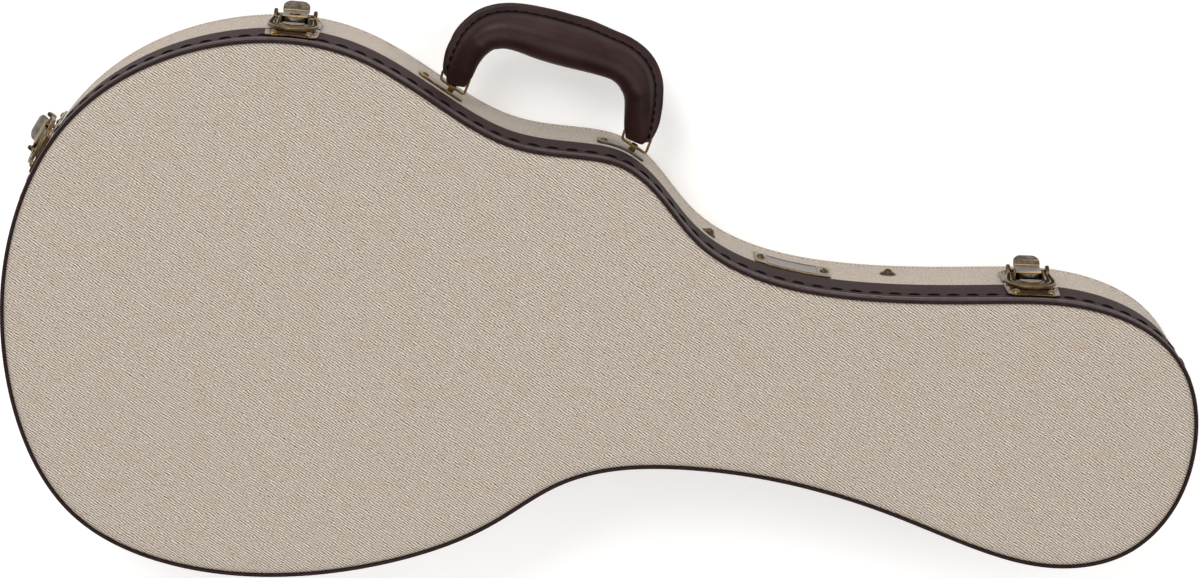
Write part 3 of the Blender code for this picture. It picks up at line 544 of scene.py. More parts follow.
def tube_along(points, section, closed=False, up=Vector((0, 0, 1)), ups=None, ends=True):
    """Lofts a closed section (w, h) along points (mm): w sideways in plane, h along up."""
    bm = bmesh.new()
    uvl = bm.loops.layers.uv.new("metric")
    n = len(points)
    rows, run = [], [0.0]
    for i in range(n):
        p = Vector(points[i])
        a = Vector(points[(i - 1) % n] if closed or i else points[0])
        b = Vector(points[(i + 1) % n] if closed or i < n - 1 else points[-1])
        t = (b - a).normalized()
        u = ups[i] if ups else up
        side = t.cross(u).normalized()
        uu = side.cross(t).normalized()
        sec = section(i) if callable(section) else section
        rows.append([bm.verts.new((p + side * w + uu * h) * MM) for w, h in sec])
        if i:
            run.append(run[-1] + (p - Vector(points[i - 1])).length)
    m = len(rows[0])
    for i in range(n if closed else n - 1):
        a, b = rows[i], rows[(i + 1) % n]
        u0, u1 = run[i], run[i + 1] if i + 1 < n else run[i] + 1.0
        for k in range(m):
            f = bm.faces.new((a[k], a[(k + 1) % m], b[(k + 1) % m], b[k]))
            for lp, (uu, vv) in zip(f.loops, ((u0, k), (u0, k + 1), (u1, k + 1), (u1, k))):
                lp[uvl].uv = (uu * MM, vv * MM)
    if not closed and ends:
        bm.faces.new(rows[0][::-1])
        bm.faces.new(rows[-1])
    bmesh.ops.recalc_face_normals(bm, faces=bm.faces)
    return bm


def ellipse(w, h, n=12, turn=0.0):
    return [(w * math.cos(2 * math.pi * k / n + turn), h * math.sin(2 * math.pi * k / n + turn)) for k in range(n)]


def boolean(ob, cutter, how):
    mod = ob.modifiers.new("b", "BOOLEAN")
    mod.operation = how
    mod.solver = "EXACT"
    mod.object = cutter
    bpy.context.view_layer.update()
    deps = bpy.context.evaluated_depsgraph_get()
    mesh = bpy.data.meshes.new_from_object(ob.evaluated_get(deps))
    ob.modifiers.clear()
    ob.data = mesh
    bpy.data.objects.remove(cutter, do_unlink=True)
    return ob


def round_edges(ob, width, segments=2, angle=30.0):
    """Rounds the sharp edges and applies it."""
    mod = ob.modifiers.new("bevel", "BEVEL")
    mod.width = width * MM
    mod.segments = segments
    mod.limit_method = "ANGLE"
    mod.angle_limit = math.radians(angle)
    mod.use_clamp_overlap = True
    bpy.context.view_layer.update()
    deps = bpy.context.evaluated_depsgraph_get()
    mesh = bpy.data.meshes.new_from_object(ob.evaluated_get(deps))
    ob.modifiers.clear()
    ob.data = mesh
    mesh.shade_smooth()
    mesh.set_sharp_from_angle(angle=math.radians(50))
    return ob


# ------------------------------------------------------------------ shell: body
shell = [
    (30, 0.0), (12, 0.0), (6.5, 0.05), (4.0, 0.45), (2.3, 1.25), (1.15, 2.5), (0.62, 4.2), (0.5, 6.0), (0.5, 8.6),
    (0.62, 9.0), (0.85, 9.2), (0.85, 9.8), (0.8, 20), (0.8, 40), (0.8, 61.0), (0.95, 62.5), (1.5, 63.2),
    (5.0, 63.2), (5.8, 62.7), (5.8, 30), (5.8, 7.0), (6.6, 6.1), (30, 6.1)]
place(sweep("body_shell", shell, CLOTH, closed=False, cap0=True, cap1=True), "case_body",
      "body_side_wall", "body_bottom_panel", slot="cloth_covering")

rim = [(6.4, 14), (6.35, 62), (6.3, 69.9), (6.6, 71.1), (7.3, 71.6), (8.1, 71.2), (8.5, 70.1), (8.55, 62), (8.55, 14)]
place(sweep("inner_rim_cover", rim, BAND), "case_body", "body_inner_rim", slot="plywood_shell")

# ------------------------------------------------------------------ shell: lid
top = [(40, 114.0), (16, 113.98), (9.0, 113.85), (6.0, 113.60), (4.0, 113.2), (2.8, 112.5), (2.4, 111.6), (2.4, 108.2),
       (1.5, 107.9), (1.5, 65.5), (1.6, 64.1), (2.1, 63.6), (4.8, 63.6), (5.4, 64.1), (5.5, 65.5), (5.5, 107.6),
       (6.5, 107.8), (40, 107.8)]
place(sweep("lid_shell", top, [CLOTH, BAND], closed=False, cap0=True, cap1=True,
            face_mat=lambda a, b: 0 if min(a[1], b[1]) > 108.0 and min(a[1], b[1]) != 107.8 else 1),
      "case_lid", "lid_top_panel", "lid_side_wall", slot="cloth_covering")

# trim round the lid: rolled bead in painted shade, raised ridge in painted highlight, stitched band down to the joint
bead = [(2.50, 110.4), (2.46, 112.5), (2.30, 113.4), (1.90, 114.05), (1.35, 114.25), (0.78, 114.05), (0.30, 113.4),
        (0.05, 112.5), (0.05, 111.3), (0.28, 110.3), (0.8, 109.9)]
place(sweep("edge_bead", bead, BEAD_SHADED, angle=60), "case_lid", "lid_edge_bead", slot="vinyl_bead")
ridge = [(1.4, 109.7), (0.55, 109.4), (0.05, 108.8), (-0.22, 107.8), (-0.30, 106.4), (-0.26, 105.2), (-0.10, 104.3),
         (0.35, 103.7), (1.4, 103.5)]
place(sweep("edge_ridge", ridge, RIDGE_HIGHLIGHT, angle=60), "case_lid", slot="vinyl_band")
band = [(1.35, 103.3), (0.60, 103.1), (0.26, 102.4), (0.12, 101.2), (0.10, 99.0), (0.24, 97.2), (0.50, 95.6),
        (0.24, 94.0), (0.10, 92.2), (0.05, 90), (0.05, 75), (0.05, 66.0), (0.15, 64.5), (0.55, 63.75), (1.35, 63.65)]
place(sweep("edge_band", band, BAND, angle=60), "case_lid", "lid_band", slot="vinyl_band")


def stitches(name, spots, length, width, height, mat):
    """Saddle stitches: short plump threads, each (centre, along, out) in mm."""
    bm = bmesh.new()
    uvl = bm.loops.layers.uv.new("metric")
    rings, sides = 7, 8
    for c, t, o in spots:
        b = t.cross(o).normalized()
        rows = []
        for i in range(rings):
            f = i / (rings - 1) * 2 - 1
            r = max(0.02, (1 - abs(f) ** 3.2)) ** 0.5
            lift = height * (1 - f * f * 1.25)
            rows.append([bm.verts.new((c + t * (f * length / 2) + b * (width / 2 * r * math.cos(a))
                                       + o * (lift + width * 0.42 * r * math.sin(a))) * MM)
                         for a in [2 * math.pi * k / sides for k in range(sides)]])
        for i in range(rings - 1):
            for k in range(sides):
                f = bm.faces.new((rows[i][k], rows[i][(k + 1) % sides], rows[i + 1][(k + 1) % sides], rows[i + 1][k]))
                for lp, (u, v) in zip(f.loops, ((i, k), (i, k + 1), (i + 1, k + 1), (i + 1, k))):
                    lp[uvl].uv = (u * length / rings * MM, v * 0.3 * MM)
        bm.faces.new(rows[0][::-1])
        bm.faces.new(rows[-1])
    bmesh.ops.recalc_face_normals(bm, faces=bm.faces)
    return make(name, bm, mat)


spots = []
number = int(round(PLAN.length / 12.6))
for k in range(number):
    pos, nrm = PLAN.at(PLAN.length * (k + 0.5) / number)
    o = Vector((*nrm, 0))
    spots.append((Vector((*pos, 95.6)) - o * 0.35, Vector((nrm[1], -nrm[0], 0)), o))
place(stitches("band_stitches", spots, 8.7, 2.2, 0.35, THREAD), "case_lid", slot="vinyl_band")

# ------------------------------------------------------------------ padded inside
rng = np.random.default_rng(7)
ripple = [rng.normal(size=PLAN.count) for _ in range(3)]


def smooth_ring(a, width):
    k = np.exp(-0.5 * (np.arange(-3 * width, 3 * width + 1) / width) ** 2)
    k /= k.sum()
    b = np.convolve(np.concatenate([a, a, a]), k, mode="same")[len(a):2 * len(a)]
    return b / np.abs(b).max()


ripple = [smooth_ring(a, 6) for a in ripple]


def soft_wall(j, k, d, z):
    """Hand-glued padding isn't quite even."""
    if d > 8.9:
        return d + 0.35 * ripple[0][k] * (1 if z > 12 else 0.3), z + 0.18 * ripple[1][k]
    return d, z


wall = [(8.8, 12.2), (8.8, 64.5), (9.3, 65.4), (10.3, 65.9), (11.5, 65.7), (12.3, 64.9), (12.8, 63.5), (12.95, 60.5),
        (13.15, 48), (13.3, 36), (13.15, 24), (12.9, 14.0), (12.8, 12.2)]
place(sweep("body_wall_padding", wall, PLUSH, angle=70, wavy=soft_wall), "case_body", "body_wall_lining",
      slot="plush_lining")
floor_pad = [(30, 6.4), (10, 6.4), (8.9, 7.0), (8.8, 10.5), (10.5, 11.6), (13, 12.0), (17, 12.35), (23, 12.7),
             (30, 12.9), (38, 13.0)]
pad = sweep("body_floor_padding", floor_pad, PLUSH, closed=False, cap0=True, cap1=True, angle=70)
place(pad, "case_body", "body_floor_pad", slot="plush_lining")

lidwall = [(5.7, 101.2), (5.7, 73.1), (6.1, 72.5), (6.9, 72.2), (7.9, 72.4), (8.5, 73.3), (8.75, 75.5), (9.0, 82),
           (8.95, 92), (8.7, 98), (8.6, 101.2)]
place(sweep("lid_wall_padding", lidwall, PLUSH, angle=70, wavy=soft_wall), "case_lid", "lid_wall_lining",
      slot="plush_lining")
lidpad = [(40, 107.5), (8, 107.5), (5.9, 107.0), (5.9, 103.2), (8.5, 102.0), (12, 101.6), (17, 101.3), (24, 101.0),
          (32, 100.8), (40, 100.7)]
pad = sweep("lid_padding", lidpad, PLUSH, closed=False, cap0=True, cap1=True, angle=70)
place(pad, "case_lid", "lid_lining_pad", slot="plush_lining")

# neck cradle, compartment walls and cover, square to the neck
U = Vector((math.cos(NECK_TILT), -math.sin(NECK_TILT), 0))
V = Vector((math.sin(NECK_TILT), math.cos(NECK_TILT), 0))
NECK = Matrix(((U.x, V.x, 0, 0), (U.y, V.y, 0, 0), (0, 0, 1, 0), (0, 0, 0, 1)))


def inner_wall_v(u, side):
    """Where the padding meets a line across the neck at u: v on the handle side (-1) or the hinge side (+1)."""
    hits = []
    pts = [pos - nrm * 13.0 for pos, nrm in PLAN.ring]
    for a, b in zip(pts, pts[1:] + pts[:1]):
        ua, ub = a[0] * U.x + a[1] * U.y - u, b[0] * U.x + b[1] * U.y - u
        if ua * ub < 0:
            f = ua / (ua - ub)
            p = a + (b - a) * f
            hits.append(p[0] * V.x + p[1] * V.y)
    return min(hits) if side < 0 else max(hits)


def across(name, u0, u1, v0, v1, z0, z1, bevel, notch=None):
    """A padded wall across the case, drawn in (v, z), its ends following the padding."""
    lo = v0 if v0 is not None else min(inner_wall_v(u, -1) for u in (u0, u1))
    hi = v1 if v1 is not None else max(inner_wall_v(u, 1) for u in (u0, u1))
    outline = [(lo, z0), (hi, z0), (hi, z1)]
    if notch:
        c, top_z, r = notch
        a = math.degrees(math.asin(min(1.0, (top_z - z1) / r)))
        lip = r * math.cos(math.radians(a))
        outline += [(c + lip + 9, z1)] + [(c + lip + 9 - 9 * math.sin(t), z1 - 3 * (1 - math.cos(t)))
                                           for t in (0.5, 1.0)]
        outline += arc(c, top_z, r, r, -a - 12, -180 + a + 12, 18)
        outline += [(c - lip - 9 + 9 * math.sin(t), z1 - 3 * (1 - math.cos(t))) for t in (1.0, 0.5)]
        outline += [(c - lip - 9, z1)]
    outline += [(lo, z1)]
    bm = prism_mesh([outline], u0, u1, bevel, 4)
    m = NECK @ Matrix(((0, 0, 1, 0), (1, 0, 0, 0), (0, 1, 0, 0), (0, 0, 0, 1)))
    return make(name, bm, PLUSH, angle=60, matrix=m)


def inside_only(ob, inset=12.2):
    """Trims a wall's ends so they tuck into the padding and no further."""
    cut = make("trim", prism_mesh([[tuple(pos - nrm * inset) for pos, nrm in PLAN.ring[::2]]], -5, 150), PLUSH)
    boolean(ob, cut, "INTERSECT")
    ob.data.shade_smooth()
    ob.data.set_sharp_from_angle(angle=math.radians(60))
    return ob


cradle = inside_only(across("neck_cradle_padding", -75, -57, None, None, 11.5, 57, 4.5, (NECK_V, 61.0, 18.0)))
place(cradle, "case_body", "neck_cradle", slot="plush_lining")
place(inside_only(across("compartment_end_padding", -190, -182, None, 73.2, 11.5, 36, 2.6)), "case_body",
      "compartment_end_wall", slot="plush_lining")
rail = make("compartment_rail_padding", prism_mesh([[(-190, 74), (-75.6, 74), (-75.6, 150), (-190, 150)]], 11.5, 40.3,
                                                   2.2, 3), PLUSH, angle=60, matrix=NECK)
place(inside_only(rail), "case_body", "compartment_hinge_rail", slot="plush_lining")

edge_v = [(u, inner_wall_v(u, -1) + 1.6) for u in np.linspace(-189.5, -76.0, 16)]
cover = make("compartment_cover_padding", prism_mesh([[(u, v) for u, v in edge_v] + [(-76.0, 73.2), (-189.5, 73.2)]],
                                                     36.4, 40.6, 1.9, 4), PLUSH, angle=60, matrix=NECK)
place(cover, "compartment_cover", "compartment_lid", slot="plush_lining")
# pull tab: a folded strap sewn on the cover
strap = [(-133.0, -21.5, 40.6), (-133.0, -19.4, 40.9), (-133.0, -18.3, 42.2), (-133.0, -17.8, 44.6), (-133.0, -17.5, 48.0),
         (-133.0, -17.3, 51.2), (-133.0, -16.9, 52.6), (-133.0, -16.2, 52.6), (-133.0, -15.9, 51.2),
         (-133.0, -15.7, 48.0), (-133.0, -15.4, 44.6), (-133.0, -14.8, 42.2), (-133.0, -13.6, 40.9),
         (-133.0, -11.4, 40.6)]
bm = tube_along(strap, [(-6.5, -0.5), (6.5, -0.5), (6.9, 0), (6.5, 0.5), (-6.5, 0.5), (-6.9, 0)],
                up=Vector((0, 0, 1)), ups=[Vector((0, -math.sin(a), math.cos(a))) for a in
                                           np.interp(range(14), [0, 1, 3, 5, 6, 7, 8, 10, 12, 13],
                                                     [0, 0.3, 1.4, 1.5, 0.8, -0.8, -1.5, -1.4, -0.3, 0])])
place(make("compartment_pull", bm, HIDE, matrix=NECK), "compartment_cover", "compartment_pull_tab",
      slot="handle_leather")


def highlight_facing_up(ob, index, limit=0.5, low=-1e9):
    """Painted highlight: faces pointing up, above a given height, get the brighter material at index."""
    for f in ob.data.polygons:
        if f.normal.z > limit and f.center.z > low * MM:
            f.material_index = index
    return ob


def bend(bm, s):
    """Bends a flat plate, drawn in a wall frame at s, to the wall."""
    (p0, n0) = PLAN.at(s)
    for v in bm.verts:
        pos, _ = PLAN.at(s + v.co.x / MM)
        v.co.y += float((pos - p0) @ n0) * MM
    return bm


def slice_x(bm, half, steps):
    for k in range(1, steps):
        x = (-half + 2 * half * k / steps) * MM
        bmesh.ops.bisect_plane(bm, geom=bm.verts[:] + bm.edges[:] + bm.faces[:], plane_co=(x, 0, 0),
                               plane_no=(1, 0, 0))
    return bm


# ------------------------------------------------------------------ latches
def rivets(bm, spots, out, r=2.2, h=1.15, mat=0):
    for x, z in spots:
        add(bm, rod((x, out - 0.3, z), (x, out + 0.22, z), r + 0.45, r + 0.25, sides=20), mat=mat)
        add(bm, dome((x, out + 0.2, z), (0, 1, 0), r, h), mat=mat)


def shade_between(bm, half, top):
    """The middle of a plate, behind the lever and the loop, gets painted shade, a dark unreflective material; its rim
    stays worn.
    """
    bm.faces.ensure_lookup_table()
    for f in bm.faces:
        c = f.calc_center_median()
        if f.material_index == 0 and abs(c.x) < half * MM and c.y < top * MM and abs(f.normal.y) > 0.9:
            f.material_index = 2


def latch_looks(key):
    frame_m, s_latch = wall_frame(LATCHES[key], SEAM)
    py, pz = LEVER_PIVOT
    ly, lz = LOOP_PIVOT
    # plate on the body
    bm = bmesh.new()
    add(bm, slice_x(prism_mesh([rounded(-17.2, -36, 17.2, -1, 5.0, 8)], 0.3, 1.5, 0.35, 3), 17.2, 12), FACE)
    add(bm, slice_x(prism_mesh([rounded(-15.2, -33.9, 15.2, -3.1, 3.6, 8), rounded(-14.4, -33.1, 14.4, -3.9, 3.0, 8)],
                               1.2, 1.7, 0.16, 2), 17.2, 12), FACE)
    rivets(bm, ((-13.4, -7), (13.4, -7), (-13.4, -31), (13.4, -31)), 1.5, 2.0, 1.1, mat=1)
    bend(bm, s_latch)
    cheek = [(0.2, -9.6), (0.2, -1.2), (py - 0.6, -1.2)] + arc(py - 0.6, pz, 1.9, 2.7, 70, -55, 7) \
        + [(py - 0.4, -7.9), (3.0, -9.6)]
    # painted shade on the middle of the body plate, under the lever
    shade_between(bm, 11.6, 2.0)
    for x0, x1 in ((-10.0, -8.8), (8.8, 10.0)):
        add(bm, prism_mesh([cheek], x0, x1, 0.3, 2), SIDE, mat=3)
    place(make("plate_body_" + key, bm, [ANTIQUE, BRONZE, SHADE_PAINT, ANTIQUE_DARK], matrix=frame_m), "case_body",
          "latch_base_" + key, slot="latch_antique_brass")
    bm = bmesh.new()
    add(bm, rod((-10.1, py, pz), (10.1, py, pz), 0.85, bevel=0.2))
    place(make("pin_lever_" + key, bm, ANTIQUE_DARK, matrix=frame_m), "case_body", "lever_pin_" + key,
          slot="bright_brass")
    # catch on the lid
    bm = bmesh.new()
    shape = [(17.2, 3.9), (17.2, 20.0)] + arc(10.8, 32.0, 6.0, 7.2, 8, 90, 8) + arc(-10.8, 32.0, 6.0, 7.2, 90, 172, 8) \
        + [(-17.2, 20.0), (-17.2, 3.9)]
    add(bm, slice_x(prism_mesh([shape[::-1]], 0.55, 1.6, 0.35, 3), 17.2, 12), FACE)
    rivets(bm, ((-15.3, 19.0), (15.3, 19.0)), 1.6, 1.5, 0.9, mat=1)
    rivets(bm, ((-11.6, 30.8), (11.6, 30.8)), 1.6, 2.4, 1.7, mat=1)
    bend(bm, s_latch)
    boss = arc(0, 6.0, 9.6, 12.3, 0, 180, 24)
    add(bm, prism_mesh([boss[::-1]], 0.8, 4.1, 0.8, 4), FACE, mat=3)
    add(bm, prism_mesh([arc(0, 7.0, 7.4, 9.4, 0, 180, 24)[::-1]], 3.6, 4.9, 0.55, 3), FACE, mat=1)
    # painted shade on the middle of the catch plate, behind the loop
    shade_between(bm, 11.6, 1.75)
    # painted highlight: the catch plate's up-facing top edge turns bronze
    plate = highlight_facing_up(make("plate_lid_" + key, bm, [ANTIQUE, BRONZE, SHADE_PAINT, ANTIQUE_DARK], matrix=frame_m), 1, 0.5,
                      SEAM + 31.5)
    place(plate, "case_lid", "catch_plate_" + key, slot="latch_antique_brass")
    # lever
    side = [(2.4, -6.0), (2.5, -2.6), (3.0, -1.0), (4.2, -0.5), (5.6, -0.9), (6.6, -1.9), (7.2, -3.2), (7.5, -4.6),
            (7.6, -6.2), (7.7, -8.2), (8.2, -14.0), (8.6, -18.9), (8.55, -20.1), (8.45, -20.6), (9.2, -21.4),
            (10.9, -24.5), (13.2, -29.0), (13.3, -29.8), (12.6, -30.2), (11.9, -29.4), (9.6, -24.8), (8.0, -21.9),
            (7.0, -20.3), (2.4, -19.7)]
    half = arc(0, -6.4, 8.4, 5.9, 90, 0, 10) + [(8.4, -7.6), (8.2, -8.4), (8.2, -19.9), (8.5, -20.6), (8.7, -21.6)] \
        + [(8.7, -23.8)] + arc(0, -23.8, 8.7, 6.6, 0, -90, 12)
    plan = half + [(-x, z) for x, z in half[-2:0:-1]]
    lever = make("lever_" + key, prism_mesh([side], -9.5, 9.5), ANTIQUE, matrix=SIDE)
    plan_ob = make("plan", prism_mesh([plan], 0.0, 20.0), ANTIQUE, matrix=FACE)
    boolean(lever, plan_ob, "INTERSECT")
    hole = make("hole", rod((-30, ly, lz), (30, ly, lz), 1.25, sides=20), ANTIQUE)
    boolean(lever, hole, "DIFFERENCE")
    if key == "bout":
        hole = make("hole", rod((0, 4.5, -10.3), (0, 20, -10.3), 1.9, sides=28), ANTIQUE)
        boolean(lever, hole, "DIFFERENCE")
    round_edges(lever, 0.38, 3)
    bm = bmesh.new()
    bm.from_mesh(lever.data)
    # painted highlight: thin gilt rods along the fold under the tab and the pressed front lip stand in for the glints
    # there
    add(bm, rod((-8.0, 8.7, -20.2), (8.0, 8.7, -20.2), 0.34, sides=12, bevel=0.15), mat=1)
    add(bm, rod((-7.9, 7.15, -3.3), (7.9, 7.15, -3.3), 0.34, sides=12, bevel=0.15), mat=1)
    bm.to_mesh(lever.data)
    bm.free()
    lever.data.materials.append(GILT)
    lever.data.transform(frame_m)
    place(lever, "lever_" + key, "latch_lever_" + key, slot="latch_antique_brass")
    if key == "bout":
        bm = bmesh.new()
        at = Matrix.Translation((0, 0, -10.3 * MM)) @ FACE
        add(bm, rod((0, 5.2, -10.3), (0, 8.0, -10.3), 1.7, sides=28, bevel=0.25))
        add(bm, prism_mesh([ellipse(3.7, 2.6, 28)], 7.6, 8.6, 0.35, 3), at)
        # painted shade: the keyhole is a dark disc and slot standing on the face, not a cut hole
        add(bm, prism_mesh([ellipse(0.7, 0.7, 12)], 8.4, 8.75, 0.1, 1), Matrix.Translation((0, 0, 0.5 * MM)) @ at, mat=1)
        add(bm, prism_mesh([[(-0.32, -1.0), (0.32, -1.0), (0.28, 0.6), (-0.28, 0.6)]], 8.4, 8.75, 0.05, 1),
            Matrix.Translation((0, 0, -0.5 * MM)) @ at, mat=1)
        place(make("lock_face", bm, [GILT, HIDE_EDGE], matrix=frame_m), "lock", "lock_cylinder", slot="bright_brass")
    # loop: pressed strap with two raised lines, ends turned up as rounded ears
    line = [(-12.7, -14.5), (-12.8, -9.0), (-13.3, -2.0), (-13.9, 4.0)] \
        + [(x, z) for x, z in arc(0, 8.2, 14.35, 14.8, 176, 4, 26)] \
        + [(13.9, 4.0), (13.3, -2.0), (12.8, -9.0), (12.7, -14.5)]
    tilt = math.atan2(2.0, 36.0)
    pts = [Vector((x, 3.1 - math.sin(tilt) * (z - 22.0), 22.0 + math.cos(tilt) * (z - 22.0))) for x, z in line]
    sec = [(-2.1, -1.0), (-1.8, -1.25), (1.8, -1.25), (2.1, -1.0), (2.15, 0.2), (1.95, 0.9), (1.5, 1.2),
           (1.05, 0.85), (0.65, 0.15), (-0.65, 0.15), (-1.05, 0.85), (-1.5, 1.2), (-1.95, 0.9), (-2.15, 0.2)]
    wide = [0.56 + 0.44 * max(0.0, min(1.0, (p.z + 9) / 14)) + 0.28 * max(0.0, min(1.0, (p.z - 8) / 14)) for p in pts]
    bm = tube_along(pts, lambda i: [(w * wide[i], h) for w, h in sec], up=Vector((0, 1, 0)))
    ear = arc(ly + 0.6, lz + 0.2, 3.2, 3.2, -90, 70, 10) + [(ly - 0.6, lz + 6.0), (ly - 2.7, lz + 4.0),
                                                             (ly - 2.5, lz - 0.6), (ly - 1.2, lz - 2.6)]
    for x0, x1 in ((-14.1, -11.6), (11.6, 14.1)):
        add(bm, prism_mesh([ear], x0, x1, 0.8, 4), SIDE, mat=1)
    loop = make("loop_" + key, bm, [ANTIQUE, ANTIQUE_DARK, SHADE_PAINT], angle=50, matrix=frame_m)
    strap_faces = len(sec) * (len(pts) - 1)
    # painted shade: the groove between the two raised lines gets the dark shade material; the raised lines keep the
    # lighter plate finish, the rest the darker one
    for k, f in enumerate(loop.data.polygons):
        if k < strap_faces:
            f.material_index = 2 if k % len(sec) in (7, 8, 9) else (0 if k % len(sec) in (5, 6, 10, 11) else 1)
    place(loop, "loop_" + key, "latch_loop_" + key, slot="latch_antique_brass")
    bm = bmesh.new()
    add(bm, rod((-13.9, ly, lz), (13.9, ly, lz), 1.05, bevel=0.3))
    place(make("pin_loop_" + key, bm, ANTIQUE_DARK, matrix=frame_m), "loop_" + key, "loop_pin_" + key,
          slot="bright_brass")


for key in LATCHES:
    latch_looks(key)


# ------------------------------------------------------------------ plates that follow the wall
def wall_plate(s, half, out0, out1, z0, z1, radius, steps=26, edge=0.35):
    """A thin plate bent to the wall, with rounded corners and softened edges, as a bmesh."""
    zc, hz = (z0 + z1) / 2, (z1 - z0) / 2
    outline = [(x - 0.0, z) for x, z in rounded(-half, -hz, half, hz, radius, 6)]
    bm = prism_mesh([outline], out0, out1, edge, 3)
    # cut across so that it bends smoothly
    for k in range(1, steps):
        x = (-half + 2 * half * k / steps) * MM
        bmesh.ops.bisect_plane(bm, geom=bm.verts[:] + bm.edges[:] + bm.faces[:], plane_co=(x, 0, 0),
                               plane_no=(1, 0, 0))
    for v in bm.verts:
        x, z, out = v.co.x / MM, v.co.y / MM, v.co.z / MM
        pos, nrm = PLAN.at(s + x)
        v.co = Vector(((pos[0] + nrm[0] * out) * MM, (pos[1] + nrm[1] * out) * MM, (zc + z) * MM))
    bmesh.ops.recalc_face_normals(bm, faces=bm.faces)
    return bm


def screw(center, axis, r, h, slot_turn=0.6, cup=None):
    """Domed screw head with a cross slot; the cup argument is not used."""
    ob = make("tmp_head", dome((0, 0, 0), (0, 0, 1), r, h, sides=28, rings=7, skirt=0.3), BRONZE)
    for a in (slot_turn, slot_turn + math.pi / 2):
        cut = make("cut", box_bm((-r * 0.62, -0.22 * r, h * 0.55), (r * 0.62, 0.22 * r, h * 2)), GILT,
                   matrix=Matrix.Rotation(a, 4, "Z"))
        boolean(ob, cut, "DIFFERENCE")
    bm = bmesh.new()
    bm.from_mesh(ob.data)
    bpy.data.objects.remove(ob, do_unlink=True)
    rot = Vector(axis).to_track_quat("Z", "Y").to_matrix().to_4x4()
    bmesh.ops.transform(bm, matrix=Matrix.Translation(Vector(center) * MM) @ rot, verts=bm.verts)
    return bm


def cup_washer(center, axis, r_in, r_out, h, sides=36):
    prof = [(r_in, 0.0), (r_in, h * 0.75), (r_in + 0.35, h), (r_in + 0.8, h * 0.96), (r_out * 0.80, h * 0.62),
            (r_out * 0.94, h * 0.25), (r_out, 0.05), (r_out - 0.1, -0.25), (r_in, -0.25)]
    bm = bmesh.new()
    rows = [[bm.verts.new((r * math.cos(2 * math.pi * k / sides) * MM, r * math.sin(2 * math.pi * k / sides) * MM,
                           z * MM)) for k in range(sides)] for r, z in prof]
    for j in range(len(rows)):
        a, b = rows[j], rows[(j + 1) % len(rows)]
        for k in range(sides):
            bm.faces.new((a[k], a[(k + 1) % sides], b[(k + 1) % sides], b[k]))
    bmesh.ops.recalc_face_normals(bm, faces=bm.faces)
    rot = Vector(axis).to_track_quat("Z", "Y").to_matrix().to_4x4()
    bmesh.ops.transform(bm, matrix=Matrix.Translation(Vector(center) * MM) @ rot, verts=bm.verts)
    return bm


s_plate = PLAN.nearest((-126, -17))
bm = wall_plate(s_plate, 25.5, -0.45, 0.55, 32.0, 62.0, 1.2, edge=0.3)
border = prism_mesh([rounded(-17.4, -12.4, 17.4, 12.4, 1.4, 5), rounded(-16.5, -11.5, 16.5, 11.5, 1.0, 5)], 0.45, 0.85,
                    0.15, 2)
for k in range(1, 16):
    bmesh.ops.bisect_plane(border, geom=border.verts[:] + border.edges[:] + border.faces[:],
                           plane_co=((-17.4 + 34.8 * k / 16) * MM, 0, 0), plane_no=(1, 0, 0))
for v in border.verts:
    x, z, out = v.co.x / MM, v.co.y / MM, v.co.z / MM
    pos, nrm = PLAN.at(s_plate + x)
    v.co = Vector(((pos[0] + nrm[0] * out) * MM, (pos[1] + nrm[1] * out) * MM, (47.0 + z) * MM))
add(bm, border)
# painted highlight: the name plate's up-facing top edge turns gilt
place(highlight_facing_up(make("plate_name_blank", bm, [PEWTER, GILT]), 1, 0.5, 61.0), "case_body", "name_plate",
      slot="plate_pewter")
for key, dx in (("bout", -21.5), ("head", 21.5)):
    pos, nrm = PLAN.at(s_plate + dx)
    p, q = Vector((*pos, 47.0)), Vector((*nrm, 0))
    place(make("screw_plate_" + key, screw(p + q * 0.6, q, 2.9, 2.0, 0.4 if dx < 0 else 1.0), BRONZE), "case_body",
          "name_plate_screw_" + key, slot="bright_brass")
for key, xy, z in (("cradle", (-72, -39.6), 48.0), ("compartment", (-189.8, -9.2), 32.0)):
    pos, nrm = PLAN.at(PLAN.nearest(xy))
    p, q = Vector((*pos, z)), Vector((*nrm, 0))
    place(make("washer_" + key, cup_washer(p - q * 0.4, q, 2.6, 5.5, 1.5), ANTIQUE_DARK), "case_body",
          key + "_washer", slot="latch_antique_brass")
    place(make("screw_" + key, screw(p + q * 0.7, q, 3.0, 2.3, 0.9), BRONZE), "case_body", key + "_screw",
          slot="bright_brass")

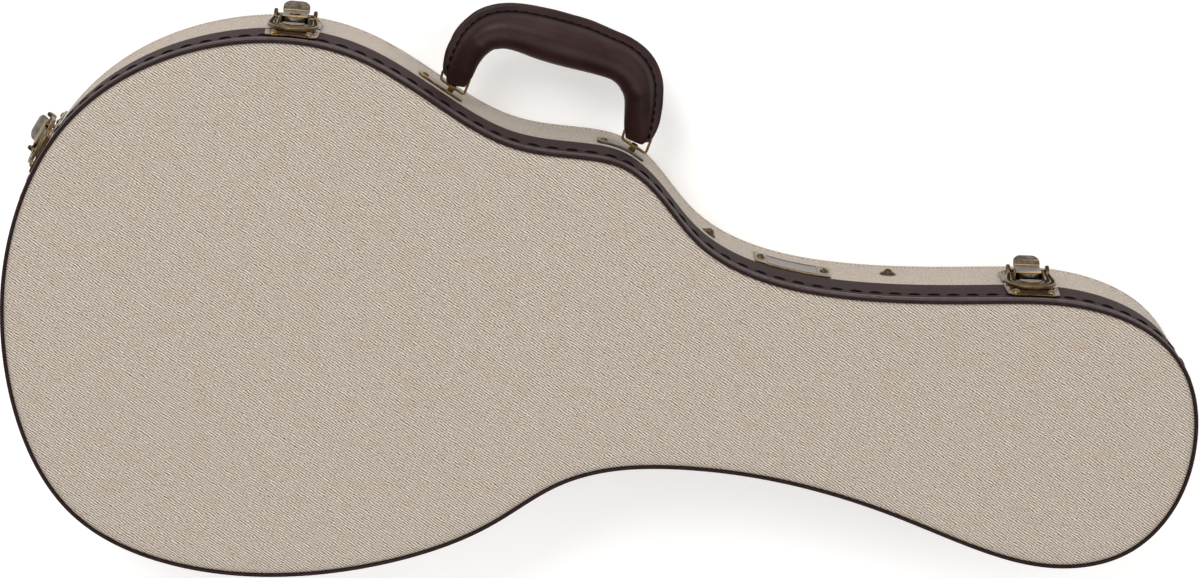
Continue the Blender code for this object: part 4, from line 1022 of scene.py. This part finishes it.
# ------------------------------------------------------------------ handle: plates, rings, grip
sa, sb = PLAN.nearest(HANDLE_PLATES["bout"]), PLAN.nearest(HANDLE_PLATES["neck"])
(pa, na), (pb, nb) = PLAN.at(sa), PLAN.at(sb)
EYE_A = Vector((*(pa + na * RING_AXIS_OUT), HANDLE_Z))
EYE_B = Vector((*(pb + nb * RING_AXIS_OUT), HANDLE_Z))
AX = (EYE_A - EYE_B).normalized()
AWAY = Vector((AX.y, -AX.x, 0))
for key, s, eye in (("bout", sa, EYE_A), ("neck", sb, EYE_B)):
    nrm = PLAN.at(s)[1]
    n3, tang = Vector((*nrm, 0)), Vector((nrm[1], -nrm[0], 0))
    bm = wall_plate(s - 6.75, 16.75, -0.45, 0.95, HANDLE_Z - 7.2, HANDLE_Z + 7.2, 3.0, edge=0.45)
    # painted highlight: the handle plate's up-facing top edge turns gilt
    plate = highlight_facing_up(make("plate_handle_" + key, bm, [PEWTER, GILT, ANTIQUE_DARK]), 1, 0.5, HANDLE_Z + 5.0)
    # a small saddle holds the ring's lower bar
    bm = bmesh.new()
    bm.from_mesh(plate.data)
    hump = [(-2.2, 0.5), (-2.2, 3.7)] + [(2.2 * math.cos(a), 3.7 + 2.2 * math.sin(a)) for a in
                                         np.linspace(math.pi * 0.92, math.pi * 0.08, 9)] \
        + [(2.2, 3.7), (2.2, 0.5), (1.65, 0.5), (1.65, 3.6)] \
        + [(1.65 * math.cos(a), 3.7 + 1.65 * math.sin(a)) for a in np.linspace(0.1, math.pi - 0.1, 9)] \
        + [(-1.65, 3.6), (-1.65, 0.5)]
    m = Matrix.Identity(4)
    m.col[0][:3], m.col[1][:3], m.col[2][:3] = Vector((0, 0, 1)), n3, tang
    m.translation = Vector((*PLAN.at(s)[0], HANDLE_Z)) * MM
    add(bm, prism_mesh([hump], -2.0, 2.0, 0.18, 2), m, mat=2)
    bm.to_mesh(plate.data)
    bm.free()
    place(plate, "case_body", "handle_plate_" + key, slot="bright_brass")
    heads = bmesh.new()
    pos, nn = PLAN.at(s - 19.0)
    add(heads, dome(Vector((*pos, HANDLE_Z)) + Vector((*nn, 0)) * 0.95, Vector((*nn, 0)), 2.5, 1.3, sides=24))
    place(make("rivets_handle_" + key, heads, BRONZE), "case_body", slot="bright_brass")
    # wire ring: straight lower bar along the wall, top bar through the grip
    top_c = eye + AWAY * RING_RISE
    low, high = 9.0, 9.3
    c = [eye - tang * low, eye + tang * low, top_c + AX * high, top_c - AX * high]
    if (c[1] - c[2]).length > (c[1] - c[3]).length:
        c[2], c[3] = c[3], c[2]
    pts = []
    for k in range(4):
        p, before, after = c[k], c[k - 1], c[(k + 1) % 4]
        r = 1.7
        a, b = p + (before - p).normalized() * r, p + (after - p).normalized() * r
        for t in np.linspace(0, 1, 6):
            pts.append(a * (1 - t) ** 2 + p * 2 * t * (1 - t) + b * t * t)
        d = (after - p).normalized()
        for t in (0.25, 0.5, 0.75):
            pts.append(b * (1 - t) + (after - d * r) * t)
    bm = tube_along(pts, ellipse(0.85, 0.85, 12), closed=True)
    place(make("ring_handle_" + key, bm, GILT), "ring_" + key, "handle_ring_" + key, slot="bright_brass")

# centreline (x, y) with the half width of the hide and the rise of the welt, from the wide end
GRIP = [(94.0, -137.2, 6.3, 0.0), (93.2, -140.4, 7.6, 0.8), (91.9, -144.6, 9.0, 2.4), (88.3, -153.3, 9.5, 4.2),
        (85.3, -158.6, 9.9, 4.5), (81.6, -164.0, 10.7, 4.6), (76.7, -168.5, 11.2, 4.6), (71.0, -171.6, 12.0, 4.6),
        (62.4, -173.1, 12.6, 4.6), (51.5, -171.8, 13.5, 4.6), (37.4, -167.9, 14.7, 4.6), (24.4, -164.2, 14.9, 4.6),
        (12.0, -160.8, 14.6, 4.6), (-0.8, -156.4, 13.5, 4.6), (-12.1, -151.9, 12.9, 4.6), (-19.9, -145.6, 12.6, 4.6),
        (-24.3, -137.1, 11.8, 4.6), (-25.7, -128.6, 10.5, 4.6), (-25.3, -119.5, 9.9, 4.6), (-24.6, -111.1, 9.4, 4.0),
        (-23.9, -105.0, 8.6, 2.4), (-22.0, -100.2, 6.5, 0.0)]


def catmull(points, per=6):
    p = [np.array(q, float) for q in points]
    out = []
    for i in range(len(p) - 1):
        p0, p1, p2, p3 = p[max(i - 1, 0)], p[i], p[i + 1], p[min(i + 2, len(p) - 1)]
        for f in np.linspace(0, 1, per, endpoint=False):
            out.append(0.5 * ((2 * p1) + (-p0 + p2) * f + (2 * p0 - 5 * p1 + 4 * p2 - p3) * f ** 2
                              + (-p0 + 3 * p1 - 3 * p2 + p3) * f ** 3))
    out.append(p[-1])
    return out


path = catmull(GRIP, 7)
total = len(path)
reach0 = np.array([np.hypot(*(q[:2] - path[0][:2])) for q in path])
reach1 = np.array([np.hypot(*(q[:2] - path[-1][:2])) for q in path])
reach = np.minimum(reach0, reach1)
width = np.array([q[2] for q in path])
welt_rise = np.array([max(0.0, q[3]) for q in path])
height = width * (0.50 + 0.50 * np.clip((reach - 5.0) / 27.0, 0, 1))
side_vecs = []
for i in range(total):
    d = path[min(i + 1, total - 1)][:2] - path[max(i - 1, 0)][:2]
    d = d / np.linalg.norm(d)
    side_vecs.append(np.array([d[1], -d[0]]))
flip = 1.0 if np.dot(side_vecs[total // 2], path[total // 2][:2] - np.array([30, -120])) > 0 else -1.0
side_vecs = [v * flip for v in side_vecs]

# hide: tube drawn to a stitched welt on the outer edge
SIDES = 40
bm = bmesh.new()
uvl = bm.loops.layers.uv.new("metric")
rows = []
order = [(0, -0.9, 0.72), (0, -0.6, 0.93)] + [(i, 0.0, 1.0) for i in range(total)] \
    + [(total - 1, 0.6, 0.93), (total - 1, 0.9, 0.72)]
for i, shift, scale in order:
    d = path[min(i + 1, total - 1)][:2] - path[max(i - 1, 0)][:2]
    d = d / np.linalg.norm(d)
    cx, cy = path[i][0] + d[0] * shift, path[i][1] + d[1] * shift
    w, h, sv = width[i], height[i], side_vecs[i]
    grow = min(1.0, welt_rise[i] / 3.0)
    row = []
    for k in range(SIDES):
        a = 2 * math.pi * k / SIDES
        e = 0.92 - 0.20 * max(0.0, 1.0 - reach[i] / 16.0)
        ww = (w - 1.2 * grow if math.cos(a) > 0 else w) * math.copysign(abs(math.cos(a)) ** e, math.cos(a)) * scale
        hh = h * math.copysign(abs(math.sin(a)) ** e, math.sin(a)) * scale
        aa = a if a <= math.pi else a - 2 * math.pi
        pull = math.exp(-(aa / 0.34) ** 2) * grow
        ww += 1.5 * pull
        hh *= 1 - 0.25 * pull
        row.append(bm.verts.new(((cx + sv[0] * ww) * MM, (cy + sv[1] * ww) * MM, (HANDLE_Z + hh) * MM)))
    rows.append(row)
for i in range(len(rows) - 1):
    for k in range(SIDES):
        f = bm.faces.new((rows[i][k], rows[i][(k + 1) % SIDES], rows[i + 1][(k + 1) % SIDES], rows[i + 1][k]))
        for lp, (u, v) in zip(f.loops, ((i, k), (i, k + 1), (i + 1, k + 1), (i + 1, k))):
            lp[uvl].uv = (u * 3 * MM, v * 2 * MM)
bm.faces.new(rows[0])
bm.faces.new(rows[-1][::-1])
bmesh.ops.recalc_face_normals(bm, faces=bm.faces)
hide = make("grip_hide", bm, [HIDE, HIDE_EDGE], angle=55)
for k, f in enumerate(hide.data.polygons):
    if k < SIDES * (len(rows) - 1) and k % SIDES in (1, 38):
        f.material_index = 1
place(hide, "handle", "handle_grip", "handle_core", slot="handle_leather")

# welt: two edges of hide sewn together
start = int(np.argmax(welt_rise > 0.9))
stop = total - 1 - int(np.argmax(welt_rise[::-1] > 0.9))
welt_pts, welt_sec, stitch_top, stitch_low = [], [], [], []
for i in range(start, stop + 1):
    rise = welt_rise[i]
    sv = side_vecs[i]
    base = width[i] - 1.0
    out = width[i] + rise
    welt_pts.append((path[i][0], path[i][1], HANDLE_Z))
    mid = width[i] + 0.45 * rise
    welt_sec.append([(base - 1.6, -2.3), (width[i] - 0.6, -1.9), (mid, -2.3), (out - 0.7, -1.9), (out, -1.1),
                     (out + 0.1, -0.35), (out - 0.3, 0.0), (out + 0.1, 0.35), (out, 1.1), (out - 0.7, 1.9), (mid, 2.3),
                     (width[i] - 0.6, 1.9), (base - 1.6, 2.3)])
probe = tube_along(welt_pts, ellipse(1, 1, 6))
probe.free()
t0 = (Vector(welt_pts[1]) - Vector(welt_pts[0])).normalized().cross(Vector((0, 0, 1)))
sign = 1.0 if t0.dot(Vector((*side_vecs[start], 0))) > 0 else -1.0
bm = tube_along(welt_pts, lambda i: [(w * sign, h) for w, h in welt_sec[i]])
welt = make("grip_welt", bm, [HIDE, HIDE_EDGE], angle=50)
for f in welt.data.polygons:
    if abs(f.center.z - HANDLE_Z * MM) < 1.3 * MM:
        f.material_index = 1
place(welt, "handle", "handle_welt", slot="handle_leather")
run, last, spots = 0.0, None, []
for i in range(start + 1, stop):
    p = Vector((path[i][0], path[i][1], 0)) + Vector((*side_vecs[i], 0)) * (width[i] - 0.6)
    if last is not None:
        run += (p - last).length
        if run >= 5.0:
            run = 0.0
            t = (p - last).normalized()
            for s_ in (1, -1):
                spots.append((Vector((p.x, p.y, HANDLE_Z + s_ * 1.85)), t, Vector((0, 0, s_))))
    last = p
place(stitches("welt_stitches", spots, 3.9, 1.6, 0.32, THREAD), "handle", slot="handle_leather")

# ------------------------------------------------------------------ hinges
ha, _ = wall_frame(HINGES["bout"], SEAM, HINGE_OUT)
hb, _ = wall_frame(HINGES["head"], SEAM, HINGE_OUT)
HA, HB = ha.translation / MM, hb.translation / MM
hdir = (HA - HB).normalized()
for key, centre in (("bout", HA), ("head", HB)):
    m = Matrix.Translation(centre * MM) @ Matrix.Rotation(math.atan2(hdir.y, hdir.x), 4, "Z")
    spans = {"body": [(-17, -10.3), (-3.2, 3.2), (10.3, 17)], "lid": [(-9.9, -3.6), (3.6, 9.9)]}
    for side in ("body", "lid"):
        base_y = -HINGE_OUT + (-0.8 if side == "body" else 0.0) + 0.35
        up = -1.0 if side == "body" else 1.0
        z_near = -0.9 if side == "body" else 0.5
        edge = []
        for x0, x1 in spans[side]:
            edge += [(x0, 3.5 * up), (x0, z_near), (x1, z_near), (x1, 3.5 * up)]
        edge = edge[1:-1] if side == "body" else [(-17, 3.6 * up)] + edge + [(17, 3.6 * up)]
        tips = arc(12.5, 17.5 * up, 4.5, 4.5 * up, 0, 90, 8) + arc(-12.5, 17.5 * up, 4.5, 4.5 * up, 90, 180, 8)
        bm = bmesh.new()
        add(bm, prism_mesh([edge + tips], base_y, base_y + 1.25, 0.3, 2), FACE)
        for x0, x1 in spans[side]:
            add(bm, rod((x0 + 0.02, 0, 0), (x1 - 0.02, 0, 0), 3.0, sides=32, bevel=0.35))
            if side == "body":
                add(bm, box_bm((x0 + 0.1, base_y + 0.3, -2.4), (x1 - 0.1, -0.5, -0.7), 0.15, 1))
        rivets(bm, ((-11.5, 14.0 * up), (11.5, 14.0 * up)), base_y + 1.25, 2.1, 1.1, mat=1)
        place(make("hinge_%s_%s" % (side, key), bm, [ANTIQUE, ANTIQUE_DARK], matrix=m),
              "case_body" if side == "body" else "case_lid", "hinge_leaf_%s_%s" % (side, key),
              slot="latch_antique_brass")
    bm = bmesh.new()
    for s_ in (-1, 1):
        add(bm, dome((s_ * 17.0, 0, 0), (s_, 0, 0), 2.2, 1.1))
    add(bm, rod((-17.2, 0, 0), (17.2, 0, 0), 1.2))
    place(make("hinge_pin_head_" + key, bm, GILT, matrix=m), "case_body", "hinge_pin_" + key, slot="bright_brass")

# ------------------------------------------------------------------ floor, light, camera
bm = bmesh.new()
bmesh.ops.create_grid(bm, x_segments=1, y_segments=1, size=6.0)
n = Nodes("studio_floor")
p = n.position(1.0)
tone = n.mix(n.noise(p, 3.0, 2.0), (0.93, 0.93, 0.93), (0.96, 0.96, 0.96))
floor_mat = n.finish(tone, 0.9, spec=0.1, view=(0.9, 0.9, 0.9))
n.bsdf.inputs["Emission Color"].default_value = (1.0, 1.0, 1.0, 1.0)
n.bsdf.inputs["Emission Strength"].default_value = 0.15
floor = make("floor", bm, floor_mat, smooth=False)
floor.location.z = -0.0004

world = bpy.data.worlds.new("studio")
bpy.context.scene.world = world
world.use_nodes = True
world.node_tree.nodes["Background"].inputs["Color"].default_value = (1.0, 0.99, 0.975, 1.0)
world.node_tree.nodes["Background"].inputs["Strength"].default_value = 0.62


def area(name, loc, target, size, power, color=(1, 1, 1)):
    light = bpy.data.lights.new(name, "AREA")
    light.shape = "RECTANGLE"
    light.size, light.size_y = size
    light.energy = power
    light.color = color
    ob = bpy.data.objects.new(name, light)
    bpy.context.scene.collection.objects.link(ob)
    ob.location = loc
    ob.rotation_euler = (Vector(target) - Vector(loc)).to_track_quat("-Z", "Y").to_euler()
    return ob


area("key", (0.9, -1.6, 2.2), (0, 0, 0.05), (1.5, 1.5), 38.5)
area("fill", (-1.6, -0.6, 1.9), (0, 0, 0.05), (2.0, 2.0), 12.5)
area("top", (0.2, 0.9, 2.6), (0, 0, 0.05), (2.2, 1.4), 20)
area("front", (-0.2, -2.6, 1.0), (0, 0, 0.06), (2.4, 1.2), 13.5)

cam = bpy.data.cameras.new("camera")
cam.sensor_fit = "HORIZONTAL"
cam.sensor_width = 36.0
cam.lens = 135.99
cam.clip_start, cam.clip_end = 0.05, 50.0
camera = bpy.data.objects.new("camera", cam)
bpy.context.scene.collection.objects.link(camera)
right, up_, back = Vector((-0.99997, -0.00171, 0.00798)), Vector((0, -0.97769, -0.21007)), Vector((0.00816, -0.21006, 0.97765))
m = Matrix.Identity(4)
for k, col in enumerate((right, up_, back)):
    for r in range(3):
        m[r][k] = col[r]
m.translation = Vector((0.02450, -0.62642, 2.95897))
camera.matrix_world = m
bpy.context.scene.camera = camera
bpy.context.scene.view_settings.view_transform = "Standard"
bpy.context.scene.view_settings.look = "None"

bpy.context.view_layer.update()
